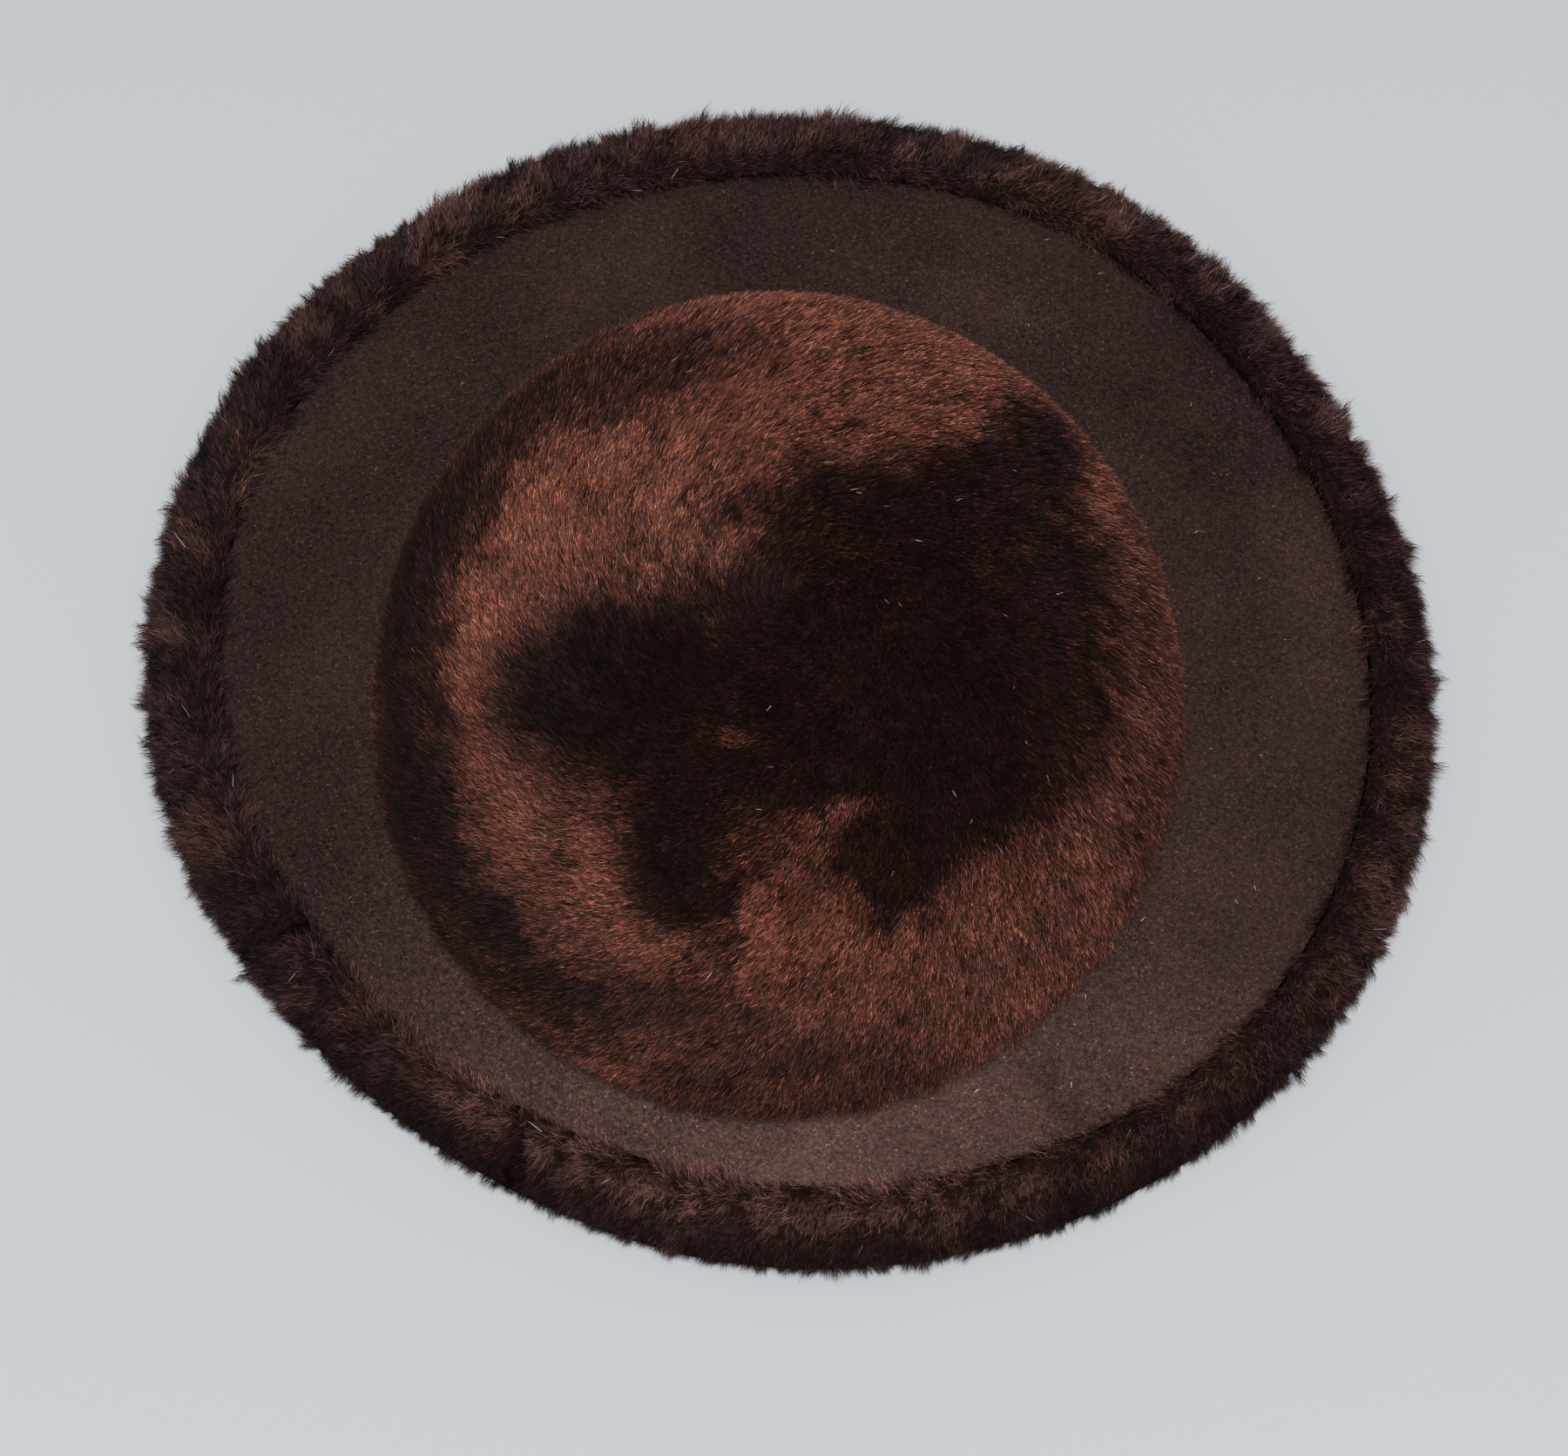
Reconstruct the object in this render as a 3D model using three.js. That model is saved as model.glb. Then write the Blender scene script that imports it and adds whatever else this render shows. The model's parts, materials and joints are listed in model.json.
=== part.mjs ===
// A lady's hat: a domed fur crown on a wide felt brim, whose edge is bound with a folded strip of fur.
// Millimetres. +Z is up, +Y is the front of the hat and +X its right. The hat rests on its fur edge.
import * as THREE from "three";

const TURN = 2 * Math.PI;
const DEGREE = Math.PI / 180;
const SMALL_STEP = 1e-3;

// Head opening, an ellipse for a 57 cm head
const HEAD_HALF_WIDTH = 83;
const HEAD_HALF_LENGTH = 98;

// Crown, measured over its lying nap from the felt's top at the root
const CROWN_HALF_WIDTH = 108;
const CROWN_HALF_LENGTH = 117;
const CROWN_HEIGHT = 88;
const CROWN_SET_BACK = 3;
const BULGE_HEIGHT = 20;
const DOME_ROUNDNESS = 2.2;
const PELT_THICKNESS = 5;
const TUCK_SHARE = 0.22;

// Locks of the crown's nap: they leave the tip and swirl clockwise, seen from above
const CROWN_LOCKS = 26;
const STEPS_PER_LOCK = 3;
const LOCK_HEIGHT = 1.6;
const LOCK_TWIST = 115 * DEGREE;
const OUTER_ROWS = 19;
const INNER_ROWS = 7;

// Felt brim. fall is how far its edge hangs below the root, cuff how far the fur covers it on top.
const FELT_THICKNESS = 2.5;
const SLOPE_POWER = 1.8;
const BRIM_SECTIONS = [
  { azimuth: 0, reach: 175, fall: 16, cuff: 15 },
  { azimuth: 30, reach: 183, fall: 16, cuff: 16 },
  { azimuth: 60, reach: 192, fall: 16, cuff: 18 },
  { azimuth: 90, reach: 192, fall: 17, cuff: 20 },
  { azimuth: 120, reach: 189, fall: 16, cuff: 19 },
  { azimuth: 150, reach: 182, fall: 15, cuff: 18 },
  { azimuth: 180, reach: 167, fall: 17, cuff: 19 },
  { azimuth: 210, reach: 151, fall: 17, cuff: 19 },
  { azimuth: 240, reach: 144, fall: 18, cuff: 20 },
  { azimuth: 270, reach: 148, fall: 16, cuff: 21 },
  { azimuth: 300, reach: 155, fall: 17, cuff: 20 },
  { azimuth: 330, reach: 167, fall: 15, cuff: 17 },
];
const BRIM_FOLDS = [
  { azimuth: 38, depth: 3.0, spread: 12 },
  { azimuth: 306, depth: 3.5, spread: 9 },
  { azimuth: 172, depth: 2.5, spread: 14 },
];
const BRIM_STEPS = 84;
const BRIM_ROWS = 5;

// Fur strip folded over the brim's edge
const FUR_LIP = 4.5;
const FUR_HALF_THICKNESS = 6.8;
const FUR_SQUARENESS = 2.7;
const SEAM_GAP = 0.3;
const TUFTS = 52;
const STEPS_PER_TUFT = 3;
const TUFT_HEIGHT = 1.8;
const TUFT_SKEW = 1.6;
const FUR_ROWS = 11;
const SHORT_STRIP_START = 203.5 * DEGREE;
const SHORT_STRIP_END = 240.5 * DEGREE;
const FLOOR_TRIM = 2.2;

const FINISHES = {
  crownNap: { color: 0x5c3226, roughness: 0.55, metalness: 0 },
  felt: { color: 0x3c3230, roughness: 0.95, metalness: 0 },
  edgeNap: { color: 0x2d1c19, roughness: 0.7, metalness: 0 },
};

function smoothstep(low, high, value) {
  return THREE.MathUtils.smoothstep(value, low, high);
}

function fraction(value) {
  return value - Math.floor(value);
}

// A repeatable number from 0 to 1 for the lock or tuft with this index
function variation(index) {
  return fraction(Math.sin(index * 12.9898 + 4.1) * 43758.5453);
}

// One column of the brim's table at any azimuth, on a smooth curve through its rows
function brimColumn(column, azimuth) {
  const rows = BRIM_SECTIONS.length;
  const place = fraction(azimuth / TURN) * rows;
  const row = Math.floor(place);
  const t = place - row;
  const value = (offset) => BRIM_SECTIONS[(row + offset + rows) % rows][column];
  const [before, from, to, after] = [value(-1), value(0), value(1), value(2)];
  const rise = (to - before) / 2;
  const run = (after - from) / 2;
  const bend = 3 * (to - from) - 2 * rise - run;
  const twist = 2 * (from - to) + rise + run;
  return from + t * (rise + t * (bend + t * twist));
}

// Distance from the centre to the head opening's edge
function headRadius(azimuth) {
  return 1 / Math.hypot(Math.cos(azimuth) / HEAD_HALF_WIDTH, Math.sin(azimuth) / HEAD_HALF_LENGTH);
}

function brimWidth(azimuth) {
  return brimColumn("reach", azimuth) - headRadius(azimuth);
}

function foldDepth(azimuth) {
  let depth = 0;
  for (const fold of BRIM_FOLDS) {
    const away = THREE.MathUtils.euclideanModulo(azimuth / DEGREE - fold.azimuth + 180, 360) - 180;
    depth += fold.depth * Math.exp(-0.5 * (away / fold.spread) ** 2);
  }
  return depth;
}

// The middle of the felt: share 0 is its root at the head opening and 1 its edge, and it goes on straight past that
function brimMiddle(azimuth, share) {
  const radius = headRadius(azimuth) + brimWidth(azimuth) * share;
  const curved = Math.min(share, 1);
  const fall = brimColumn("fall", azimuth) + foldDepth(azimuth);
  const drop = fall * (curved ** SLOPE_POWER + SLOPE_POWER * (share - curved));
  return new THREE.Vector3(
    radius * Math.cos(azimuth),
    radius * Math.sin(azimuth),
    -FELT_THICKNESS / 2 - drop,
  );
}

// The unit normal of surface(azimuth, share): it points up where share runs outwards, and inwards where it climbs
function normalOf(surface, azimuth, share) {
  const round = surface(azimuth + SMALL_STEP, share).sub(surface(azimuth - SMALL_STEP, share));
  const along = surface(azimuth, share + SMALL_STEP).sub(surface(azimuth, share - SMALL_STEP));
  return along.cross(round).normalize();
}

function brimOffset(azimuth, share, rise) {
  const curved = THREE.MathUtils.clamp(share, 0.002, 0.998);
  return brimMiddle(azimuth, share).addScaledVector(normalOf(brimMiddle, azimuth, curved), rise);
}

// The crown's smooth outer form: share 0 is its foot on the felt and 1 its tip. inset moves it inwards.
function crownForm(azimuth, share, inset) {
  const halfWidth = CROWN_HALF_WIDTH - inset;
  const halfLength = CROWN_HALF_LENGTH - inset;
  let round;
  let height;
  if (share < TUCK_SHARE) {
    const turn = (share / TUCK_SHARE) * (Math.PI / 2);
    round = Math.sin(turn);
    height = SEAM_GAP + inset + (BULGE_HEIGHT - SEAM_GAP - inset) * (1 - Math.cos(turn));
    return new THREE.Vector3(
      THREE.MathUtils.lerp(HEAD_HALF_WIDTH, halfWidth, round) * Math.cos(azimuth),
      THREE.MathUtils.lerp(HEAD_HALF_LENGTH, halfLength, round) * Math.sin(azimuth) - CROWN_SET_BACK * round,
      height,
    );
  }
  const turn = ((share - TUCK_SHARE) / (1 - TUCK_SHARE)) * (Math.PI / 2);
  round = Math.max(Math.cos(turn), 0) ** (2 / DOME_ROUNDNESS);
  height = BULGE_HEIGHT + (CROWN_HEIGHT - inset - BULGE_HEIGHT) * Math.sin(turn) ** (2 / DOME_ROUNDNESS);
  return new THREE.Vector3(
    halfWidth * round * Math.cos(azimuth),
    halfLength * round * Math.sin(azimuth) - CROWN_SET_BACK,
    height,
  );
}

// How far the nap stands over the crown's smooth form: each lock rises clockwise and drops to the next
function lockRelief(column, share) {
  const lock = Math.floor(column / STEPS_PER_LOCK);
  const across = 1 - (column % STEPS_PER_LOCK) / (STEPS_PER_LOCK - 1);
  const full = 0.7 + 0.3 * variation(lock);
  const wave = 0.75 + 0.25 * Math.sin(share * TURN * 2 + TURN * variation(lock + CROWN_LOCKS));
  const fade = smoothstep(TUCK_SHARE * 0.5, TUCK_SHARE, share) * (1 - smoothstep(0.8, 0.97, share));
  return LOCK_HEIGHT * across * full * wave * fade;
}

// Joins a grid of points into faces. Rows run along the section and columns round the hat.
function gridFaces(indexAt, rows, columns, wraps) {
  const faces = [];
  const last = wraps ? columns : columns - 1;
  for (let column = 0; column < last; column += 1) {
    const next = (column + 1) % columns;
    for (let row = 0; row < rows - 1; row += 1) {
      const a = indexAt(row, column);
      const b = indexAt(row + 1, column);
      const c = indexAt(row + 1, next);
      const d = indexAt(row, next);
      faces.push(a, b, d, b, c, d);
    }
  }
  return faces;
}

function geometryOf(points, faces) {
  const geometry = new THREE.BufferGeometry();
  geometry.setFromPoints(points);
  geometry.setIndex(faces);
  geometry.computeVertexNormals();
  return geometry;
}

// The hollow dome: its outer side from the tip to the foot, then its inner side back up
function crownGeometry() {
  const columns = CROWN_LOCKS * STEPS_PER_LOCK;
  const points = [];
  const outer = (azimuth, share) => crownForm(azimuth, share, 0);
  for (let row = 1; row <= OUTER_ROWS; row += 1) {
    const share = 1 - row / OUTER_ROWS;
    for (let column = 0; column < columns; column += 1) {
      const azimuth = (column / columns) * TURN + LOCK_TWIST * share ** 1.5;
      const point = outer(azimuth, share);
      const relief = lockRelief(column, share);
      if (relief > 0) {
        point.addScaledVector(normalOf(outer, azimuth, share), -relief);
      }
      points.push(point);
    }
  }
  for (let row = 0; row < INNER_ROWS; row += 1) {
    const share = row / INNER_ROWS;
    for (let column = 0; column < columns; column += 1) {
      points.push(crownForm((column / columns) * TURN, share, PELT_THICKNESS));
    }
  }
  const rows = OUTER_ROWS + INNER_ROWS;
  const indexAt = (row, column) => row * columns + column;
  const faces = gridFaces(indexAt, rows, columns, true);
  const tip = points.push(new THREE.Vector3(0, -CROWN_SET_BACK, CROWN_HEIGHT)) - 1;
  const inside = points.push(new THREE.Vector3(0, -CROWN_SET_BACK, CROWN_HEIGHT - PELT_THICKNESS)) - 1;
  for (let column = 0; column < columns; column += 1) {
    const next = (column + 1) % columns;
    faces.push(tip, indexAt(0, column), indexAt(0, next));
    faces.push(inside, indexAt(rows - 1, next), indexAt(rows - 1, column));
  }
  return geometryOf(points, faces);
}

// A ring or strip whose closed section runs through the points that sectionAt gives for each azimuth
function sweptGeometry(azimuths, sectionAt, wraps) {
  const sections = azimuths.map(sectionAt);
  const rows = sections[0].length;
  const points = sections.flat();
  const indexAt = (row, column) => column * rows + (row % rows);
  const faces = gridFaces(indexAt, rows + 1, azimuths.length, wraps);
  return { points, faces, rows };
}

function brimGeometry() {
  const half = FELT_THICKNESS / 2;
  const section = (azimuth) => {
    const points = [];
    for (let row = 0; row <= BRIM_ROWS; row += 1) {
      points.push(brimOffset(azimuth, row / BRIM_ROWS, half));
    }
    for (let row = BRIM_ROWS; row >= 0; row -= 1) {
      points.push(brimOffset(azimuth, row / BRIM_ROWS, -half));
    }
    return points;
  };
  const azimuths = Array.from({ length: BRIM_STEPS }, (_, step) => (step / BRIM_STEPS) * TURN);
  const { points, faces } = sweptGeometry(azimuths, section, true);
  return geometryOf(points, faces);
}

// How far a tuft stands out at this place: it rises clockwise, leaning outwards, and drops to the next
function tuftRelief(azimuth, turn) {
  const place = (azimuth / TURN) * TUFTS + (TUFT_SKEW * turn) / Math.PI;
  const tuft = THREE.MathUtils.euclideanModulo(Math.floor(place), TUFTS);
  return TUFT_HEIGHT * (1 - fraction(place)) * (0.5 + 0.5 * variation(tuft));
}

// The closed section of the fur strip: round the outside from its top edge to its lower one, then the slot
function furSection(azimuth) {
  const cuff = brimColumn("cuff", azimuth);
  const slotHalf = FELT_THICKNESS / 2 + SEAM_GAP;
  const centre = (FUR_LIP - cuff) / 2;
  const halfLength = (FUR_LIP + cuff) / 2;
  const width = brimWidth(azimuth);
  const corner = Math.PI - Math.asin((slotHalf / FUR_HALF_THICKNESS) ** (FUR_SQUARENESS / 2));
  const place = (along, rise) => brimOffset(azimuth, 1 + along / width, rise);
  const power = (value) => Math.sign(value) * Math.abs(value) ** (2 / FUR_SQUARENESS);
  const points = [];
  for (let row = 0; row < FUR_ROWS; row += 1) {
    const turn = corner * (1 - (2 * row) / (FUR_ROWS - 1));
    const fade = 1 - smoothstep(0.86 * corner, corner, Math.abs(turn));
    const reach = 1 + (tuftRelief(azimuth, turn) * fade) / FUR_HALF_THICKNESS;
    const along = centre + halfLength * power(Math.cos(turn)) + (reach - 1) * FUR_HALF_THICKNESS * Math.cos(turn);
    points.push(place(along, FUR_HALF_THICKNESS * power(Math.sin(turn)) * reach));
  }
  const inner = -cuff / 2;
  points.push(place(inner, -slotHalf));
  points.push(place(SEAM_GAP, -slotHalf));
  points.push(place(SEAM_GAP, slotHalf));
  points.push(place(inner, slotHalf));
  return points;
}

// Closes a strip's end with faces over its section, whose outline is flattened to distance out and height
function endCap(section, offset, turned) {
  const outline = section.map((point) => new THREE.Vector2(Math.hypot(point.x, point.y), point.z));
  const triangles = THREE.ShapeUtils.triangulateShape(outline, []);
  return triangles.flatMap(([a, b, c]) => (turned ? [a, c, b] : [a, b, c]).map((index) => index + offset));
}

// A length of the fur strip between two azimuths, pressed level where it rests
function furStripGeometry(start, end, floor) {
  const steps = Math.max(2, Math.round(((end - start) / TURN) * TUFTS * STEPS_PER_TUFT));
  const azimuths = Array.from({ length: steps + 1 }, (_, step) => start + ((end - start) * step) / steps);
  const { points, faces, rows } = sweptGeometry(azimuths, furSection, false);
  for (const point of points) {
    point.z = Math.max(point.z, floor);
  }
  faces.push(...endCap(points.slice(0, rows), 0, false));
  faces.push(...endCap(points.slice(-rows), points.length - rows, true));
  return geometryOf(points, faces);
}

function named(name, geometry, finish) {
  const mesh = new THREE.Mesh(geometry, new THREE.MeshStandardMaterial(finish));
  mesh.name = name;
  return mesh;
}

// The level that the lowest tufts are cut to, over the whole ring
function restLevel() {
  let lowest = 0;
  for (let step = 0; step < TUFTS * STEPS_PER_TUFT; step += 1) {
    for (const point of furSection((step / (TUFTS * STEPS_PER_TUFT)) * TURN)) {
      lowest = Math.min(lowest, point.z);
    }
  }
  return lowest + FLOOR_TRIM;
}

const floor = restLevel();
const butt = SEAM_GAP / brimColumn("reach", SHORT_STRIP_END);
const longStrip = furStripGeometry(SHORT_STRIP_END, SHORT_STRIP_START + TURN, floor);
const shortStrip = furStripGeometry(SHORT_STRIP_START + butt, SHORT_STRIP_END - butt, floor);

const hat = new THREE.Group();
hat.add(
  named("crown", crownGeometry(), FINISHES.crownNap),
  named("brim", brimGeometry(), FINISHES.felt),
  named("edge_fur_long", longStrip, FINISHES.edgeNap),
  named("edge_fur_short", shortStrip, FINISHES.edgeNap),
);

// The origin is under the middle of the hat's box, on the surface that it rests on
const box = new THREE.Box3().setFromObject(hat);
const middle = box.getCenter(new THREE.Vector3());
hat.position.set(-middle.x, -middle.y, -box.min.z);

export default hat;
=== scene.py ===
"""Scene of a hat: a swirling fur crown on a velour felt brim whose edge is bound with fur."""

import json
import logging
import math
import random
from dataclasses import dataclass, fields
from enum import Enum

import bmesh
import bpy
import numpy as np
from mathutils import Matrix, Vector, noise
from mathutils.bvhtree import BVHTree

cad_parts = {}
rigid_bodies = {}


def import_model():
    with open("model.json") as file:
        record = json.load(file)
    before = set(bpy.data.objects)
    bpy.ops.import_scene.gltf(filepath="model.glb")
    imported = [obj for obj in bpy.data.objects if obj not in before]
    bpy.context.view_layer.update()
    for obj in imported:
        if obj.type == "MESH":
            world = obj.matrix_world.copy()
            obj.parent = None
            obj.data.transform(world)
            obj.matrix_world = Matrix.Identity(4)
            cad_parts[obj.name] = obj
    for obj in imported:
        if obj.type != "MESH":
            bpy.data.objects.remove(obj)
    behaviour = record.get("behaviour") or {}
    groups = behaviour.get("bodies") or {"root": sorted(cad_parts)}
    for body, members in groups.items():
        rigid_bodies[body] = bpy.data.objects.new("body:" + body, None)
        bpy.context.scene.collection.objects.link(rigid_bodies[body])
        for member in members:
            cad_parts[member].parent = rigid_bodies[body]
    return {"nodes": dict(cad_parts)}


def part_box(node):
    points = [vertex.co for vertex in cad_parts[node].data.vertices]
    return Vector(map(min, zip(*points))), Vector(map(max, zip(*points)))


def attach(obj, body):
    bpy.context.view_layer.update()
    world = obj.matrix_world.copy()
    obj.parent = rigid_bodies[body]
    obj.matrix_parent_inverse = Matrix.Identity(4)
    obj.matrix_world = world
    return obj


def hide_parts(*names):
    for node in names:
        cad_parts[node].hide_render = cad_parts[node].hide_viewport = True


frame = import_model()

log = logging.getLogger("hat")

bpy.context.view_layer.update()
BODY = "root"
BAKE_MAP = "OFBake"
MM = 0.001
PER_SQUARE_MM = 1.0e6
TURN = 2.0 * math.pi
# The middle of the head opening, in millimetres.
HEAD_MIDDLE = (-2.65, -21.28, 25.96)
# Half of the steps over which a noise is drawn out along the nap.
STREAK_HALF = 4
# How far roots go into the skin, and how near the floor a strand may come, in millimetres.
ROOT_DEPTH = 0.3
FLOOR_GAP = 0.15
# How far a normal points up or down on the felt's upper side and on the strips' lower side.
SIDE_TURN = 0.5
# Multipliers that turn a strand's tone and fleck into a hue of its own.
HUE_SHUFFLE = (5.3, 7.7)
# How many glints lie along a strand, and how far apart flecks and tones are set in the glints' space.
GLINT_SPOT = (3.5, 997.0, 313.0)
# The noises of the felt: share of the grain's scale, and detail.
FELT_NOISES = ((1.0, 3.0), (0.36, 2.0), (0.53, 2.0), (0.61, 2.0))
GREY = (0.1, 0.1, 0.1, 1.0)

Colour = tuple[float, float, float]
Socket = bpy.types.NodeSocket
Tree = bpy.types.NodeTree


def smoothstep(low: float, high: float, value: float) -> float:
    """Blends from 0 to 1 between two limits.

    Args:
        low: The value at which the blend starts.
        high: The value at which it is complete.
        value: The value to place between them.

    Returns:
        The share, from 0 to 1, with soft ends.
    """
    share = min(max((value - low) / (high - low), 0.0), 1.0)
    return share * share * (3.0 - 2.0 * share)


@dataclass(frozen=True)
class Waver:
    """A smooth noise over the hat, with features of scale millimetres, drawn out along the nap or not."""

    swing: float
    scale: float
    layer: float
    drawn_out: bool = False

    def ripple(self, place: Vector) -> float:
        """Reads the plain noise at a place in metres, from about -1 to 1."""
        return noise.noise(place / (self.scale * MM) + Vector((self.layer, 2.0 * self.layer, -self.layer)))

    def at(self, place: Vector, way: Vector | None = None) -> float:
        """Reads the noise.

        Args:
            place: The point, in metres.
            way: The unit direction of the nap, for a noise that is drawn out.

        Returns:
            A value from about -swing to swing.
        """
        if not self.drawn_out:
            return self.swing * self.ripple(place)
        steps = range(-STREAK_HALF, STREAK_HALF + 1)
        total = sum(self.ripple(place + way * (self.scale * MM) * step) for step in steps)
        return self.swing * (2.0 * total / len(steps))


@dataclass(frozen=True)
class Patch:
    """A soft oval on the hat, in millimetres from the middle of its piece, seen from above.

    On the crown it paints the nap's shade and sheen: dark where the pile also stands up, bright where it lies
    flat. On the brim, on the strips and in the crown's light it paints light or shade, paler or darker. Its
    long side is turned by turn degrees.
    """

    x: float
    y: float
    long: float
    wide: float
    turn: float
    depth: float
    soft: float

    def strength(self, x: float, y: float, fray: float) -> float:
        """How strong the patch is at a place.

        Args:
            x: Millimetres right of the middle.
            y: Millimetres in front of it.
            fray: Millimetres by which the edge moves in.

        Returns:
            From 0 outside to depth inside.
        """
        turn = math.radians(self.turn)
        across, ahead = x - self.x, y - self.y
        first = (across * math.cos(turn) + ahead * math.sin(turn)) / self.long
        second = (ahead * math.cos(turn) - across * math.sin(turn)) / self.wide
        away = math.hypot(first, second) + fray / math.sqrt(self.long * self.wide)
        return self.depth * (1.0 - smoothstep(1.0 - self.soft, 1.0 + self.soft, away))


def patched(
    level: float, patches: tuple[Patch, ...], x: float, y: float, fray: float, way: float = 1.0
) -> float:
    """Raises or lowers a level where it lies in patches.

    Args:
        level: The level outside them.
        patches: The patches.
        x: Millimetres right of the middle.
        y: Millimetres in front of it.
        fray: Millimetres by which their edges move in.
        way: 1 to raise it by each patch's strength, -1 to lower it.

    Returns:
        The level there.
    """
    for patch in patches:
        level *= 1.0 + way * patch.strength(x, y, fray)
    return level


def make_mesh(name: str, points: list[Vector], faces: list[tuple[int, ...]]) -> bpy.types.Mesh:
    """Makes a smooth mesh.

    Args:
        name: Its name.
        points: Its points, in metres.
        faces: Its faces.

    Returns:
        The mesh.
    """
    made = bpy.data.meshes.new(name)
    made.from_pydata([tuple(point) for point in points], [], faces)
    made.polygons.foreach_set("use_smooth", [True] * len(faces))
    return made


def store(mesh: bpy.types.Mesh, key: str, values: list, kind: str = "FLOAT") -> None:
    """Gives each point of a mesh a value, under the attribute's name key."""
    data = mesh.attributes.new(key, kind, "POINT").data
    data.foreach_set("vector" if kind == "FLOAT_VECTOR" else "value", values)


def put(name: str, data: bpy.types.ID) -> bpy.types.Object:
    """Puts a mesh, a lamp or a camera in the scene.

    Args:
        name: The object's name.
        data: What it shows.

    Returns:
        The object.
    """
    made = bpy.data.objects.new(name, data)
    bpy.context.scene.collection.objects.link(made)
    return made


def freeze(shape: bpy.types.Object, name: str) -> bpy.types.Mesh:
    """Turns a temporary object and its modifiers into a plain mesh, and removes the object.

    Args:
        shape: The object.
        name: The name of the new mesh.

    Returns:
        The mesh.
    """
    graph = bpy.context.evaluated_depsgraph_get()
    graph.update()
    final = shape.evaluated_get(graph)
    made = bpy.data.meshes.new_from_object(final, preserve_all_data_layers=True, depsgraph=graph)
    made.name = name
    raw = shape.data
    shape.modifiers.clear()
    bpy.data.objects.remove(shape)
    bpy.data.meshes.remove(raw)
    return made


def merged_copy(node: str) -> bmesh.types.BMesh:
    """Copies a CAD node's mesh and joins its loose triangles.

    Args:
        node: The node's name.

    Returns:
        The joined copy.
    """
    copy = bmesh.new()
    copy.from_mesh(frame["nodes"][node].data)
    bmesh.ops.remove_doubles(copy, verts=copy.verts, dist=0.01 * MM)
    return copy


def ring_faces(rows: int, columns: int, wraps: bool) -> list[tuple[int, ...]]:
    """Joins a grid of points, stored row by row, into four-sided faces.

    Args:
        rows: How many rows of points.
        columns: How many points in each.
        wraps: True if the last column meets the first.

    Returns:
        The faces.
    """
    last = columns if wraps else columns - 1
    faces = []
    for row in range(rows - 1):
        for column in range(last):
            after = (column + 1) % columns
            low, high = row * columns, (row + 1) * columns
            faces.append((low + column, high + column, high + after, low + after))
    return faces


def show(name: str, mesh: bpy.types.Mesh, nodes: tuple[str, ...] = ()) -> None:
    """Puts a finished mesh in the scene as a piece of the hat, and logs it.

    Args:
        name: The piece's name.
        mesh: Its mesh, in place.
        nodes: The CAD nodes that it stands for.
    """
    made = put(name, mesh)
    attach(made, BODY)
    if nodes:
        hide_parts(*nodes)
    triangles = sum(len(polygon.vertices) - 2 for polygon in mesh.polygons)
    log.info("%s: %d triangles", name, triangles)


def feed(tree: Tree, socket: Socket, value: object) -> None:
    """Links an output to a node's input, or sets the input to a plain value.

    Args:
        tree: The tree.
        socket: The input.
        value: The output or the value.
    """
    if isinstance(value, Socket):
        tree.links.new(value, socket)
    else:
        socket.default_value = value


def add_node(tree: Tree, kind: str, settings: dict | None = None, **inputs: object) -> bpy.types.Node:
    """Adds a node to a tree.

    Args:
        tree: The tree.
        kind: The node's type.
        settings: Properties of the node, set before its inputs.
        **inputs: Sockets by name, with _ for a space: an output to link, or a value.

    Returns:
        The node.
    """
    node = tree.nodes.new(kind)
    for key, value in (settings or {}).items():
        setattr(node, key, value)
    for key, value in inputs.items():
        name = key.replace("_", " ")
        feed(tree, next(s for s in node.inputs if s.enabled and s.name == name), value)
    return node


def add_socket(tree: Tree, name: str, kind: str, value: object = None, output: bool = False) -> str:
    """Adds a socket to a tree's outside.

    Args:
        tree: The tree.
        name: The socket's name.
        kind: Its type, such as Float.
        value: Its default, if it has one.
        output: True for an output.

    Returns:
        The socket's identifier.
    """
    side = "OUTPUT" if output else "INPUT"
    made = tree.interface.new_socket(name=name, in_out=side, socket_type="NodeSocket" + kind)
    if value is not None:
        made.default_value = value
    return made.identifier


def calc(tree: Tree, operation: str, first: object, second: object = 0.0) -> Socket:
    """Adds a Math node.

    Args:
        tree: The tree.
        operation: Such as MULTIPLY.
        first: An output or a number.
        second: An output or a number.

    Returns:
        The result's socket.
    """
    node = add_node(tree, "ShaderNodeMath", {"operation": operation})
    feed(tree, node.inputs[0], first)
    feed(tree, node.inputs[1], second)
    return node.outputs[0]


def remap(
    tree: Tree, value: Socket, source: tuple = (0.0, 1.0), target: tuple = (0.0, 1.0), curve: str = "LINEAR"
) -> Socket:
    """Adds a Map Range node.

    Args:
        tree: The tree.
        value: The output to map.
        source: The limits that it comes from.
        target: The limits that it goes to, as numbers or outputs.
        curve: The node's interpolation.

    Returns:
        The result's socket.
    """
    limits = dict(zip(("From_Min", "From_Max", "To_Min", "To_Max"), (*source, *target)))
    node = add_node(tree, "ShaderNodeMapRange", {"interpolation_type": curve}, Value=value, **limits)
    return node.outputs["Result"]


def clouds(tree: Tree, place: Socket, scale: object, detail: float, roughness: float) -> Socket:
    """Adds a Noise Texture with scale features to a unit, and returns its socket, from 0 to 1."""
    settings = {"Vector": place, "Scale": scale, "Detail": detail, "Roughness": roughness}
    return add_node(tree, "ShaderNodeTexNoise", None, **settings).outputs["Fac"]


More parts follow.
